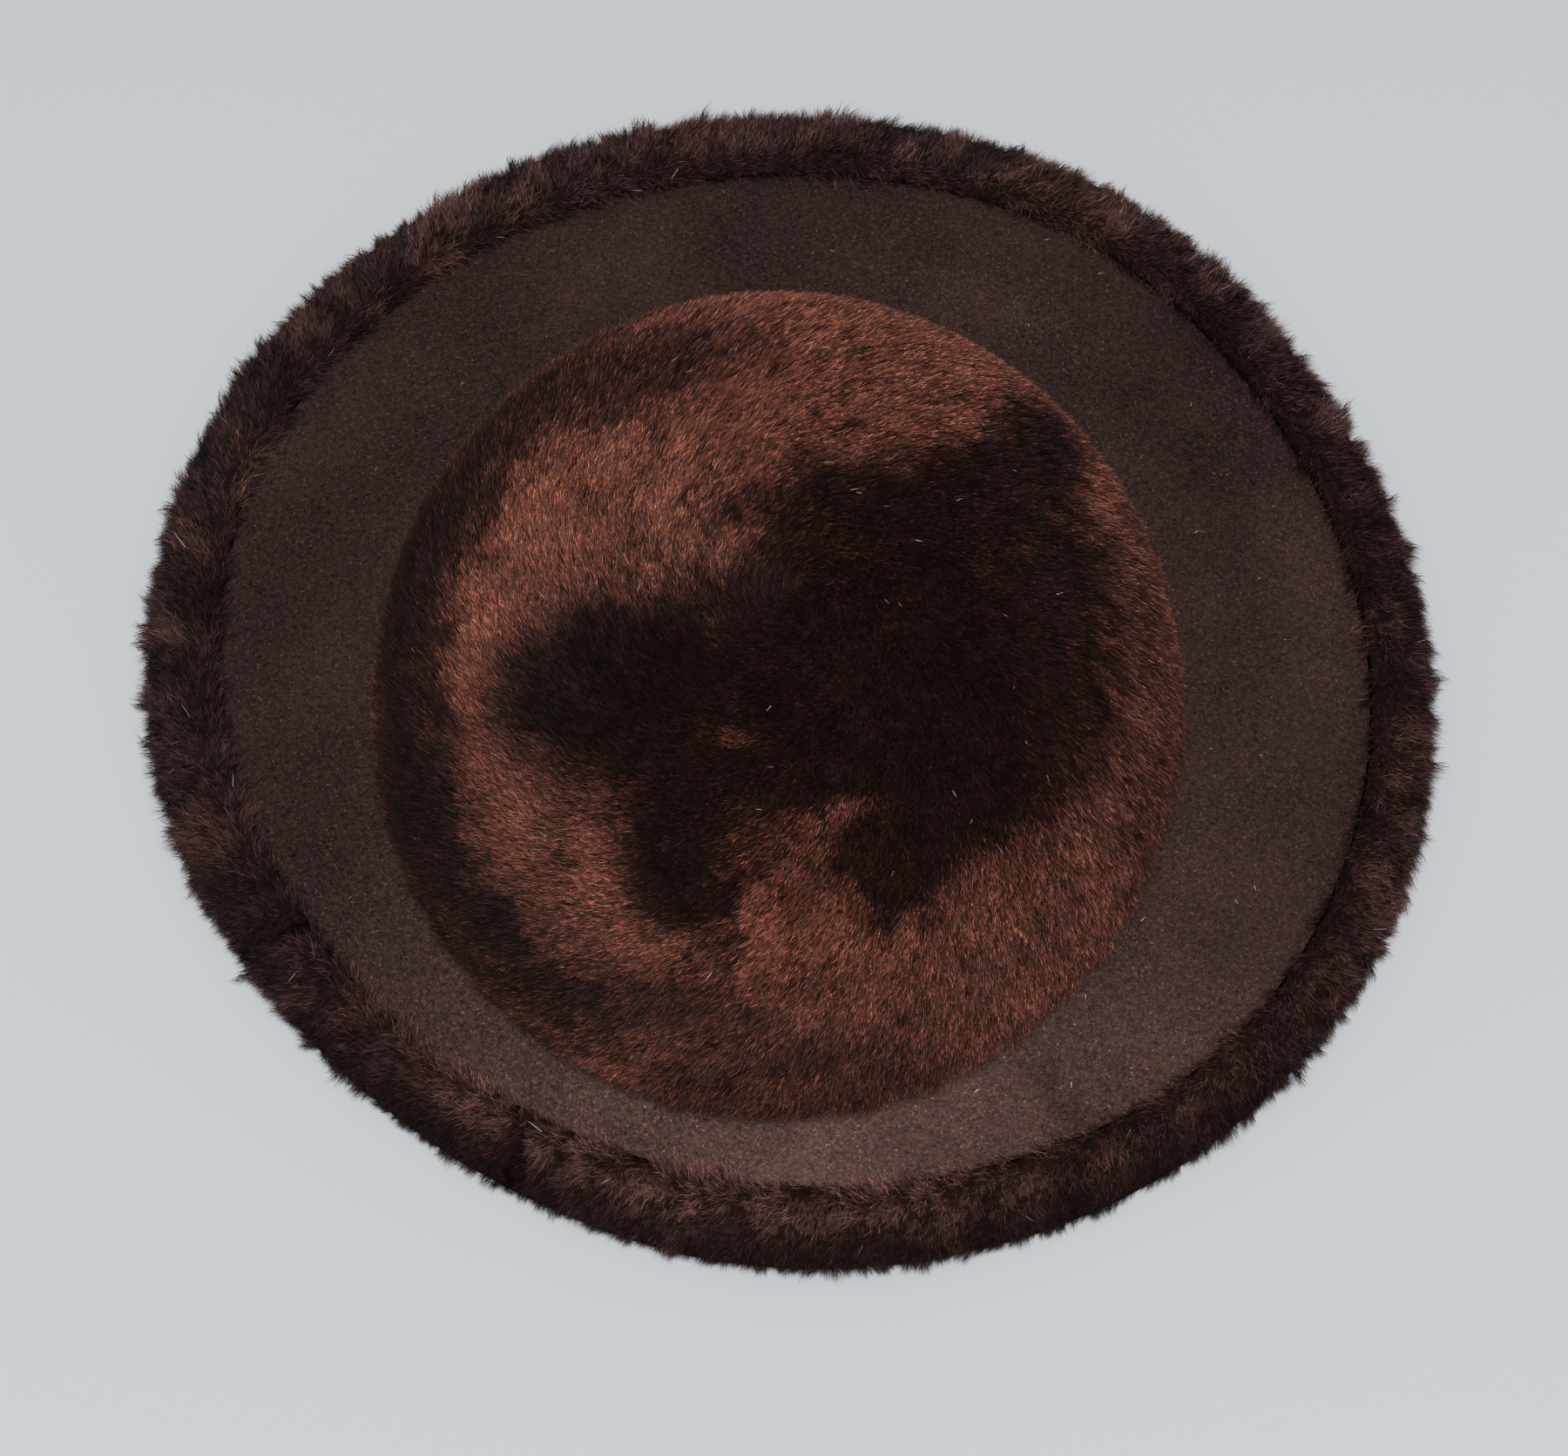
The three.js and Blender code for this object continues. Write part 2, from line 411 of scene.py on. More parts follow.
def mix_colours(tree: Tree, share: object, first: object, second: object, blend: str = "MIX") -> Socket:
    """Adds a Mix node for colours.

    Args:
        tree: The tree.
        share: How much of the second colour.
        first: A colour or an output.
        second: A colour or an output.
        blend: The way of mixing.

    Returns:
        The mixed colour's socket.
    """
    node = add_node(tree, "ShaderNodeMix", {"data_type": "RGBA", "blend_type": blend})
    colours = [s for s in node.inputs if s.type == "RGBA"]
    for socket, value in zip([node.inputs[0], *colours], (share, first, second)):
        feed(tree, socket, value)
    return next(s for s in node.outputs if s.type == "RGBA")


def scale_colour(tree: Tree, colour: Socket, level: Socket) -> Socket:
    """Multiplies a colour by a level, both given as outputs, and returns the product's socket."""
    node = add_node(tree, "ShaderNodeVectorMath", {"operation": "SCALE"}, Vector=colour, Scale=level)
    return node.outputs[0]


def add_glints(
    tree: Tree, place: Socket, scale: object, colour: Socket, strength: object, hues: float
) -> Socket:
    """Breaks a colour up into small painted glints, as where crossing hairs catch the light, which also fleck
    its hue.

    Args:
        tree: The tree.
        place: The coordinates.
        scale: How many glints there are to a unit of them.
        colour: The colour's output.
        strength: How much brighter than the rest the brightest glint is.
        hues: How far the glints differ in hue, from 0 to 1.

    Returns:
        The broken colour's socket. The mean of a cubed even number is a quarter, which keeps it as bright.
    """
    cells = add_node(tree, "ShaderNodeTexVoronoi", None, Vector=place, Scale=scale)
    luck = add_node(tree, "ShaderNodeSeparateColor", None, Color=cells.outputs["Color"]).outputs["Red"]
    keen = calc(tree, "MULTIPLY", calc(tree, "POWER", luck, 3.0), strength)
    mean = calc(tree, "MULTIPLY", strength, 0.25)
    level = calc(tree, "SUBTRACT", calc(tree, "ADD", keen, 1.0), mean)
    return scale_colour(tree, mix_colours(tree, hues, colour, cells.outputs["Color"], "OVERLAY"), level)


class StrandShape(Enum):
    """How one hair or fibre is cut from triangles."""

    BLADE = "one flat triangle"
    CURL = "a ridged spike with one bend"


# The least and the most of a strand's length and lift, as shares of its style's.
LENGTH_RANGE = (0.72, 1.15)
LIFT_RANGE = (0.55, 1.5)
# A curl's ridge and its width at the bend, as shares of its width.
RIDGE, BEND_WIDTH = 0.4, 0.85
# How far a curl's bend and tip go aside, up and down, as shares of its length.
BEND_ASIDE, TIP_ASIDE = 0.25, 0.35
BEND_RISE, TIP_DROP = 0.07, 0.06
# How far apart the seeds of two styles are.
SEED_STEP = 101
# Where a strand lies across its cell of the map, and along it.
LEFT, CENTRE, RIGHT = 0.12, 0.5, 0.88
CELL_FOOT, CELL_RUN = 0.1, 0.8
# For each shape, its triangles, how far along it each corner is, and how far across its cell of the map.
STRAND_FACES = {
    StrandShape.BLADE: ((0, 2, 1),),
    StrandShape.CURL: ((0, 3, 1), (3, 4, 1), (1, 4, 2), (4, 5, 2), (3, 6, 4), (4, 6, 5)),
}
STRAND_ALONG = {
    StrandShape.BLADE: (0.0, 0.0, 1.0),
    StrandShape.CURL: (0.0, 0.0, 0.0, 0.5, 0.5, 0.5, 1.0),
}
STRAND_ACROSS = {
    StrandShape.BLADE: (LEFT, RIGHT, CENTRE),
    StrandShape.CURL: (LEFT, CENTRE, RIGHT, LEFT, CENTRE, RIGHT, CENTRE),
}


@dataclass(frozen=True)
class TuftStyle:
    """One kind of tuft, in its own frame: X is the way of the nap and Z stands off the skin.

    Sizes are in millimetres and angles in degrees.
    """

    name: str
    strands: int
    spread: float
    length: float
    width: float
    lift: float
    fan: float
    gather: float
    bend: float
    roll: float
    variants: int
    seed: int
    shape: StrandShape = StrandShape.BLADE

    def strand_points(self, rng: random.Random) -> list[Vector]:
        """Draws one strand.

        Args:
            rng: The style's own seeded random numbers.

        Returns:
            Its corners in metres: two or three at the root, three at a curl's bend, and the tip.
        """
        out = self.spread * math.sqrt(rng.random())
        round_ = rng.uniform(0.0, TURN)
        root = Vector((out * math.cos(round_), out * math.sin(round_), -ROOT_DEPTH))
        length = self.length * rng.uniform(*LENGTH_RANGE)
        lift = math.radians(self.lift * rng.uniform(*LIFT_RANGE))
        yaw = math.radians(rng.gauss(0.0, self.fan / 2.0))
        along = Vector((math.cos(lift) * math.cos(yaw), math.cos(lift) * math.sin(yaw), math.sin(lift)))
        tip = root + along * length
        tip.y -= self.gather * root.y
        flat = Vector((-math.sin(yaw), math.cos(yaw), 0.0))
        roll = math.radians(rng.gauss(0.0, self.roll))
        side = (flat * math.cos(roll) + along.cross(flat) * math.sin(roll)) * self.width / 2.0
        corners = [root - side, root + side, tip]
        if self.shape is StrandShape.CURL:
            ridge = along.cross(side).normalized() * self.width * RIDGE
            turn = math.tan(math.radians(rng.gauss(0.0, self.bend)))
            middle = root.lerp(tip, 0.5) + Vector((0.0, turn * length * BEND_ASIDE, length * BEND_RISE))
            tip.y -= turn * length * TIP_ASIDE
            tip.z -= length * TIP_DROP
            corners = [root - side, root + ridge, root + side]
            corners += [middle + way * BEND_WIDTH for way in (-side, ridge, side)]
            corners.append(tip)
        return [corner * MM for corner in corners]

    def mesh(self, variant: int) -> bpy.types.Mesh:
        """Makes one variant of the tuft.

        Args:
            variant: Which variant, from 0.

        Returns:
            Its mesh, with along, fleck and strand attributes.
        """
        rng = random.Random(self.seed * SEED_STEP + variant)
        points, faces, fleck, strand = [], [], [], []
        for index in range(self.strands):
            start = len(points)
            corners = self.strand_points(rng)
            points += corners
            faces += [tuple(corner + start for corner in face) for face in STRAND_FACES[self.shape]]
            fleck += [rng.random()] * len(corners)
            strand += [index] * len(corners)
        made = make_mesh(f"{self.name}_{variant}", points, faces)
        store(made, "along", STRAND_ALONG[self.shape] * self.strands)
        store(made, "fleck", fleck)
        store(made, "strand", strand, "INT")
        return made

    def collection(self) -> bpy.types.Collection:
        """Puts the style's variants in a collection of their own, which exists only while a pile is laid.

        Returns:
            The collection.
        """
        group = bpy.data.collections.new(self.name)
        bpy.context.scene.collection.children.link(group)
        for variant in range(self.variants):
            group.objects.link(bpy.data.objects.new(f"{self.name}_{variant}", self.mesh(variant)))
        return group


@dataclass
class PileField:
    """A skin that tufts grow from, with the lie of the pile at each of its points."""

    points: list[Vector]
    faces: list[tuple[int, ...]]
    nap: list[Vector]
    lift: list[float]
    # shade and light carry painted shade and painted light into the strands' colour.
    shade: list[float]
    light: list[float]
    cover: list[float]
    size: list[float]

    def mesh(self, name: str) -> bpy.types.Mesh:
        """Makes the skin with nap, lift, shade, light, cover and size attributes.

        Args:
            name: The mesh's name.

        Returns:
            The mesh.
        """
        made = make_mesh(name, self.points, self.faces)
        store(made, "nap", [component for way in self.nap for component in way], "FLOAT_VECTOR")
        for key in ("lift", "shade", "light", "cover", "size"):
            store(made, key, getattr(self, key))
        return made


PILE_INPUTS = {
    "Field": ("Geometry",),
    "Tufts": ("Collection",),
    "Density": ("Float", PER_SQUARE_MM),
    "Spin": ("Float", 0.1),
    "Spread": ("Float", 0.15),
    "Seed": ("Int", 1),
    "Finish": ("Material",),
}


class PileTree:
    """The Geometry Nodes tree that lays tufts over a field and makes them real."""

    def __init__(self) -> None:
        """Builds the tree."""
        self.tree = bpy.data.node_groups.new("pile_tree", "GeometryNodeTree")
        self.ids = {name: add_socket(self.tree, name, *how) for name, how in PILE_INPUTS.items()}
        add_socket(self.tree, "Pile", "Geometry", output=True)
        self.outside = self.add("NodeGroupInput").outputs
        laid = self.instances()
        laid = self.label(laid, "tone", "FLOAT", self.random(0.0, 1.0, 13.0))
        laid = self.label(laid, "tuft", "INT", self.add("GeometryNodeInputIndex").outputs[0])
        real = self.add("GeometryNodeRealizeInstances", None, Geometry=laid).outputs[0]
        dressed = self.add("GeometryNodeSetMaterial", None, Geometry=real, Material=self.outside["Finish"])
        self.add("NodeGroupOutput", None, Pile=dressed.outputs[0])

    def add(self, kind: str, settings: dict | None = None, **inputs: object) -> bpy.types.Node:
        """Adds a node to the tree, as add_node does."""
        return add_node(self.tree, kind, settings, **inputs)

    def named(self, name: str, kind: str = "FLOAT") -> Socket:
        """Reads one of the field's attributes and returns its output."""
        node = self.add("GeometryNodeInputNamedAttribute", {"data_type": kind}, Name=name)
        return next(s for s in node.outputs if s.enabled and s.name == "Attribute")

    def random(self, low: object, high: object, shift: float) -> Socket:
        """Draws a random number for each tuft.

        Args:
            low: The lowest number, or an output.
            high: The highest number, or an output.
            shift: What is added to the tree's seed.

        Returns:
            The output.
        """
        seed = calc(self.tree, "ADD", self.outside["Seed"], shift)
        node = self.add("FunctionNodeRandomValue", {"data_type": "FLOAT"}, Min=low, Max=high, Seed=seed)
        return next(s for s in node.outputs if s.enabled)

    def label(self, laid: Socket, name: str, kind: str, value: Socket) -> Socket:
        """Stores a value for each tuft.

        Args:
            laid: The tufts' output.
            name: The attribute's name.
            kind: Its type.
            value: The value's output.

        Returns:
            The labelled tufts' output.
        """
        settings = {"data_type": kind, "domain": "INSTANCE"}
        node = self.add("GeometryNodeStoreNamedAttribute", settings, Geometry=laid, Name=name, Value=value)
        return node.outputs[0]

    def rolled(self, rotation: Socket, axis: tuple[float, float, float], angle: Socket) -> Socket:
        """Turns a rotation about one of its own axes.

        Args:
            rotation: The rotation's output.
            axis: The axis.
            angle: The angle's output.

        Returns:
            The turned rotation's output.
        """
        step = self.add("FunctionNodeAxisAngleToRotation", None, Axis=axis, Angle=angle).outputs[0]
        own = {"rotation_space": "LOCAL"}
        return self.add("FunctionNodeRotateRotation", own, Rotation=rotation, Rotate_By=step).outputs[0]

    def instances(self) -> Socket:
        """Lays the tufts along the nap, each with its own turn and size.

        Returns:
            The output with the tufts.
        """
        tree, outside = self.tree, self.outside
        spots = self.add(
            "GeometryNodeDistributePointsOnFaces",
            {"distribute_method": "RANDOM"},
            Mesh=outside["Field"],
            Density=calc(tree, "MULTIPLY", outside["Density"], self.named("cover")),
            Seed=outside["Seed"],
        )
        lie = self.add(
            "FunctionNodeAxesToRotation",
            {"primary_axis": "Z", "secondary_axis": "X"},
            Primary_Axis=spots.outputs["Normal"],
            Secondary_Axis=self.named("nap", "FLOAT_VECTOR"),
        ).outputs[0]
        spin = self.random(calc(tree, "MULTIPLY", outside["Spin"], -1.0), outside["Spin"], 0.0)
        raised = calc(tree, "MULTIPLY", self.named("lift"), -1.0)
        small = calc(tree, "SUBTRACT", 1.0, outside["Spread"])
        large = calc(tree, "ADD", 1.0, outside["Spread"])
        tufts = self.add(
            "GeometryNodeCollectionInfo",
            None,
            Collection=outside["Tufts"],
            Separate_Children=True,
            Reset_Children=True,
        )
        laid = self.add(
            "GeometryNodeInstanceOnPoints",
            None,
            Points=spots.outputs["Points"],
            Instance=tufts.outputs[0],
            Pick_Instance=True,
            Rotation=self.rolled(self.rolled(lie, (0.0, 0.0, 1.0), spin), (0.0, 1.0, 0.0), raised),
            Scale=calc(tree, "MULTIPLY", self.named("size"), self.random(small, large, 7.0)),
        )
        return laid.outputs[0]


@dataclass(frozen=True)
class Pile:
    """One layer of tufts over a field: so many to a square millimetre, spun by up to spin degrees."""

    style: TuftStyle
    density: float
    spin: float
    size_spread: float
    seed: int

    def lay(self, tree: PileTree, field: PileField, name: str, finish: bpy.types.Material) -> bpy.types.Mesh:
        """Lays the tufts and turns them into a plain mesh.

        Args:
            tree: The Geometry Nodes tree.
            field: The skin that they grow from.
            name: The name of the new mesh.
            finish: The strands' material.

        Returns:
            The mesh, with a map that gives each strand its own cell.
        """
        skin = put(name + "_field", field.mesh(name + "_field"))
        tufts = self.style.collection()
        modifier = skin.modifiers.new("pile", "NODES")
        modifier.node_group = tree.tree
        modifier[tree.ids["Tufts"]] = tufts
        modifier[tree.ids["Density"]] = self.density * PER_SQUARE_MM
        modifier[tree.ids["Spin"]] = math.radians(self.spin)
        modifier[tree.ids["Spread"]] = self.size_spread
        modifier[tree.ids["Seed"]] = self.seed
        modifier[tree.ids["Finish"]] = finish
        made = freeze(skin, name)
        for tuft in list(tufts.objects):
            shape = tuft.data
            bpy.data.objects.remove(tuft)
            bpy.data.meshes.remove(shape)
        bpy.data.collections.remove(tufts)
        self.keep_off_floor(made)
        self.map_strands(made)
        for key in ("nap", "lift", "cover", "size", "strand", "tuft"):
            layer = made.attributes.get(key)
            if layer:
                made.attributes.remove(layer)
        return made

    @staticmethod
    def keep_off_floor(made: bpy.types.Mesh) -> None:
        """Bends what would pass through the floor level with it.

        Args:
            made: The strands' mesh.
        """
        places = np.empty(len(made.vertices) * 3, np.float32)
        made.vertices.foreach_get("co", places)
        places[2::3] = np.maximum(places[2::3], FLOOR_GAP * MM)
        made.vertices.foreach_set("co", places)
        made.update()

    def map_strands(self, made: bpy.types.Mesh) -> None:
        """Gives each strand a cell of its own in the mesh's map, from its root at the bottom to its tip.

        Args:
            made: The strands' mesh.
        """
        count = len(made.vertices)
        corners = np.empty(len(made.loops), np.int32)
        made.loops.foreach_get("vertex_index", corners)
        layers = {}
        for key, kind in (("strand", np.int32), ("tuft", np.int32), ("along", np.float32)):
            layers[key] = np.empty(count, kind)
            made.attributes[key].data.foreach_get("value", layers[key])
        across = np.array(STRAND_ACROSS[self.style.shape])
        across = across[np.arange(count) % len(across)]
        number = layers["tuft"] * self.style.strands + layers["strand"]
        side = math.ceil(math.sqrt(number.max() + 1))
        along = number // side + CELL_FOOT + CELL_RUN * layers["along"]
        place = np.stack([number % side + across, along], 1) / side
        layer = made.uv_layers.get(BAKE_MAP) or made.uv_layers.new(name=BAKE_MAP)
        layer.data.foreach_set("uv", place[corners].astype(np.float32).ravel())


@dataclass(frozen=True)
class Finish:
    """A finish that is coloured by a shared shader group, whose inputs are named like the fields."""

    name: str
    roughness: float
    specular: float

    def start(self, group: Tree) -> tuple[bpy.types.Material, bpy.types.Node, bpy.types.Node]:
        """Makes the material and places the group in it, with its values.

        Args:
            group: The shared group.

        Returns:
            The material, its shader and the group's node.
        """
        made = bpy.data.materials.new(self.name)
        made.use_nodes = True
        tree = made.node_tree
        shader = tree.nodes["Principled BSDF"]
        shader.inputs["Roughness"].default_value = self.roughness
        shader.inputs["Specular IOR Level"].default_value = self.specular
        painter = add_node(tree, "ShaderNodeGroup", {"node_tree": group})
        tree.links.new(tree.nodes.new("ShaderNodeTexCoord").outputs["Object"], painter.inputs["Place"])
        for field in fields(self):
            socket = painter.inputs.get(field.name.replace("_", " ").capitalize())
            value = getattr(self, field.name)
            if socket is not None:
                socket.default_value = (*value, 1.0) if isinstance(value, tuple) else value
        return made, shader, painter


@dataclass(frozen=True)
class FurFinish(Finish):
    """The colours and gloss of one fur, from root to tip."""

    root: Colour
    body: Colour
    warm: Colour
    tip: Colour
    gloom: Colour
    shade_depth: float
    darkest: float
    brightest: float
    rarity: float
    patch_scale: float
    glint: float
    gloss_tint: Colour = (1.0, 0.72, 0.62)

    def material(self, group: Tree) -> bpy.types.Material:
        """Makes the strands' material.

        Args:
            group: The shared strand colour group.

        Returns:
            The material.
        """
        made, shader, strand = self.start(group)
        tree = made.node_tree
        shader.inputs["Specular Tint"].default_value = (*self.gloss_tint, 1.0)
        for key in ("along", "tone", "fleck", "shade", "light"):
            reader = add_node(tree, "ShaderNodeAttribute", {"attribute_name": key})
            tree.links.new(reader.outputs["Fac"], strand.inputs[key.capitalize()])
        tree.links.new(strand.outputs["Colour"], shader.inputs["Base Color"])
        return made


@dataclass(frozen=True)
class FeltFinish(Finish):
    """The colours and grain of a felted or leathery ground."""

    dark: Colour
    light: Colour
    warm: Colour
    fleck: Colour
    grain_scale: float
    cloud_scale: float
    bump: float
    bump_height: float = 0.4
    # True to multiply the colour by the piece's painted light attribute.
    follows_light: bool = False

    def material(self, group: Tree) -> bpy.types.Material:
        """Makes the ground's material.

        Args:
            group: The shared grain group.

        Returns:
            The material.
        """
        made, shader, grain = self.start(group)
        tree = made.node_tree
        relief, reach = grain.outputs["Height"], self.bump_height * MM
        bump = add_node(tree, "ShaderNodeBump", None, Strength=self.bump, Distance=reach, Height=relief)
        colour = grain.outputs["Colour"]
        if self.follows_light:
            light = add_node(tree, "ShaderNodeAttribute", {"attribute_name": "light"})
            colour = scale_colour(tree, colour, light.outputs["Fac"])
        tree.links.new(colour, shader.inputs["Base Color"])
        tree.links.new(bump.outputs["Normal"], shader.inputs["Normal"])
        return made


# Along a strand: where the root's colour ends, and where the tip's begins and is complete.
ROOT_SPAN, TIP_SPAN = (0.0, 0.6), (0.45, 0.95)
# How the luck of a strand is spread, and how far its tuft and the clouds in the fur change its level.
LUCK_SPAN, TUFT_LEVELS = (-0.2, 1.0), (0.8, 1.2)
CLOUD_SPAN, CLOUD_LEVELS = (0.3, 0.7), (0.82, 1.18)
# How warm the warmest strands are, and how far the glints of fur and of felt differ in hue.
WARMTH, FUR_HUES, FELT_HUES = 1.8, 0.3, 0.12
FELT_GLINT = 0.5
# Between which values of its noises the felt turns light, warm and flecked, and what its clouds add.
LIGHT_SPAN, WARM_SPAN, FLECK_SPAN = (0.34, 0.66), (0.45, 0.7), (0.62, 0.74)
FELT_CLOUDS = (-0.35, 0.35)
# What the fine and the coarse grain and the clouds add to the felt's height.
FINE_SHARE, COARSE_SHARE, CLOUD_SHARE = 0.6, 0.4, 0.5


def strand_group() -> Tree:
    """Builds the shader group that colours a strand from its root to its tip.

    A strand is bright or dark by its own luck, and in painted shade only the luckiest stay bright, so that a
    painted dark patch ends in single hairs.

    Returns:
        The group: its output is one colour.
    """
    tree = bpy.data.node_groups.new("strand_colour", "ShaderNodeTree")
    add_socket(tree, "Place", "Vector")
    for key in ("Root", "Body", "Warm", "Tip", "Gloom"):
        add_socket(tree, key, "Color", GREY)
    for key in ("Along", "Tone", "Fleck", "Shade", "Light", "Shade depth", "Darkest", "Brightest", "Rarity"):
        add_socket(tree, key, "Float", 1.0)
    for key in ("Patch scale", "Glint"):
        add_socket(tree, key, "Float", 1.0)
    add_socket(tree, "Colour", "Color", output=True)
    outside = add_node(tree, "NodeGroupInput").outputs
    tone, fleck = outside["Tone"], outside["Fleck"]
    patch = clouds(tree, outside["Place"], outside["Patch scale"], 3.0, 0.6)
    mixed = calc(tree, "ADD", calc(tree, "MULTIPLY", tone, HUE_SHUFFLE[0]), fleck)
    hue = calc(tree, "FRACT", calc(tree, "MULTIPLY", mixed, HUE_SHUFFLE[1]))
    warmth = calc(tree, "MULTIPLY", calc(tree, "MULTIPLY", hue, patch), WARMTH)
    body = mix_colours(tree, warmth, outside["Body"], outside["Warm"])
    grown = remap(tree, outside["Along"], ROOT_SPAN, curve="SMOOTHSTEP")
    lower = mix_colours(tree, grown, outside["Root"], body)
    ended = remap(tree, outside["Along"], TIP_SPAN)
    tipped = calc(tree, "MULTIPLY", ended, calc(tree, "MULTIPLY", fleck, fleck))
    upper = mix_colours(tree, tipped, lower, outside["Tip"])
    luck = calc(tree, "SUBTRACT", fleck, calc(tree, "MULTIPLY", outside["Shade"], outside["Shade depth"]))
    keen = calc(tree, "POWER", remap(tree, luck, LUCK_SPAN), outside["Rarity"])
    level = remap(tree, keen, target=(outside["Darkest"], outside["Brightest"]))
    level = calc(tree, "MULTIPLY", level, remap(tree, tone, target=TUFT_LEVELS))
    level = calc(tree, "MULTIPLY", level, remap(tree, patch, CLOUD_SPAN, CLOUD_LEVELS))
    # Multiplies by the painted light.
    level = calc(tree, "MULTIPLY", level, outside["Light"])
    # Painted glints along each strand.
    parts = zip("XYZ", (outside["Along"], fleck, tone), GLINT_SPOT)
    spot = {axis: calc(tree, "MULTIPLY", value, step) for axis, value, step in parts}
    place = add_node(tree, "ShaderNodeCombineXYZ", None, **spot).outputs[0]
    broken = add_glints(tree, place, 1.0, scale_colour(tree, upper, level), outside["Glint"], FUR_HUES)
    # Gloom is a faint neutral painted sheen over dark hair, scaled by the painted light.
    gloom = scale_colour(tree, outside["Gloom"], outside["Light"])
    add_node(tree, "NodeGroupOutput", None, Colour=mix_colours(tree, 1.0, broken, gloom, "ADD"))
    return tree


def grain_group() -> Tree:
    """Builds the shader group for felted fibre: a salt-and-pepper colour and a height for its bump.

    Returns:
        The group, with Colour and Height outputs.
    """
    tree = bpy.data.node_groups.new("felt_grain", "ShaderNodeTree")
    add_socket(tree, "Place", "Vector")
    for key in ("Dark", "Light", "Warm", "Fleck"):
        add_socket(tree, key, "Color", GREY)
    for key in ("Grain scale", "Cloud scale"):
        add_socket(tree, key, "Float", 1.0)
    add_socket(tree, "Colour", "Color", output=True)
    add_socket(tree, "Height", "Float", output=True)
    outside = add_node(tree, "NodeGroupInput").outputs
    place, grain = outside["Place"], outside["Grain scale"]
    fine, coarse, hue, rare = (
        clouds(tree, place, calc(tree, "MULTIPLY", grain, part), detail, 0.7) for part, detail in FELT_NOISES
    )
    cloud = clouds(tree, place, outside["Cloud scale"], 3.0, 0.5)
    fine, coarse = calc(tree, "MULTIPLY", fine, FINE_SHARE), calc(tree, "MULTIPLY", coarse, COARSE_SHARE)
    both = calc(tree, "ADD", fine, coarse)
    share = calc(tree, "ADD", remap(tree, both, LIGHT_SPAN), remap(tree, cloud, target=FELT_CLOUDS))
    share = calc(tree, "MINIMUM", calc(tree, "MAXIMUM", share, 0.0), 1.0)
    bright = mix_colours(tree, remap(tree, hue, WARM_SPAN), outside["Light"], outside["Warm"])
    ground = mix_colours(tree, share, outside["Dark"], bright)
    colour = mix_colours(tree, remap(tree, rare, FLECK_SPAN), ground, outside["Fleck"])
    colour = add_glints(tree, place, grain, colour, FELT_GLINT, FELT_HUES)
    height = calc(tree, "ADD", both, calc(tree, "MULTIPLY", cloud, CLOUD_SHARE))
    add_node(tree, "NodeGroupOutput", None, Colour=colour, Height=height)
    return tree


@dataclass(frozen=True)
class Kit:
    """What the hat's pieces share: the tree that lays tufts, and the materials."""

    tree: PileTree
    nap: bpy.types.Material
    edge: bpy.types.Material
    felt: bpy.types.Material
    velour: bpy.types.Material
    skin: bpy.types.Material
    stray: bpy.types.Material


# Each style: strands, spread, length, width, lift, fan, gather, bend, roll, variants and seed.
CROWN_TUFT = TuftStyle("crown_tuft", 24, 2.7, 4.1, 0.25, 21.0, 24.0, 0.1, 0.0, 28.0, 8, 11)
FELT_TUFT = TuftStyle("felt_tuft", 10, 2.4, 1.3, 0.18, 14.0, 200.0, 0.0, 0.0, 20.0, 6, 23)
STRAY_HAIR = TuftStyle("stray_hair", 1, 0.5, 2.2, 0.18, 10.0, 60.0, 0.0, 0.0, 20.0, 3, 29)
EDGE_UNDER = TuftStyle("edge_under", 26, 2.3, 4.0, 0.20, 27.0, 40.0, 0.55, 0.0, 34.0, 8, 31)
EDGE_GUARD = TuftStyle("edge_guard", 10, 1.2, 6.0, 0.22, 24.0, 16.0, 0.9, 18.0, 20.0, 6, 37, StrandShape.CURL)
EDGE_STRAY = TuftStyle("edge_stray", 1, 0.5, 5.4, 0.16, 38.0, 60.0, 0.0, 0.0, 20.0, 3, 43)


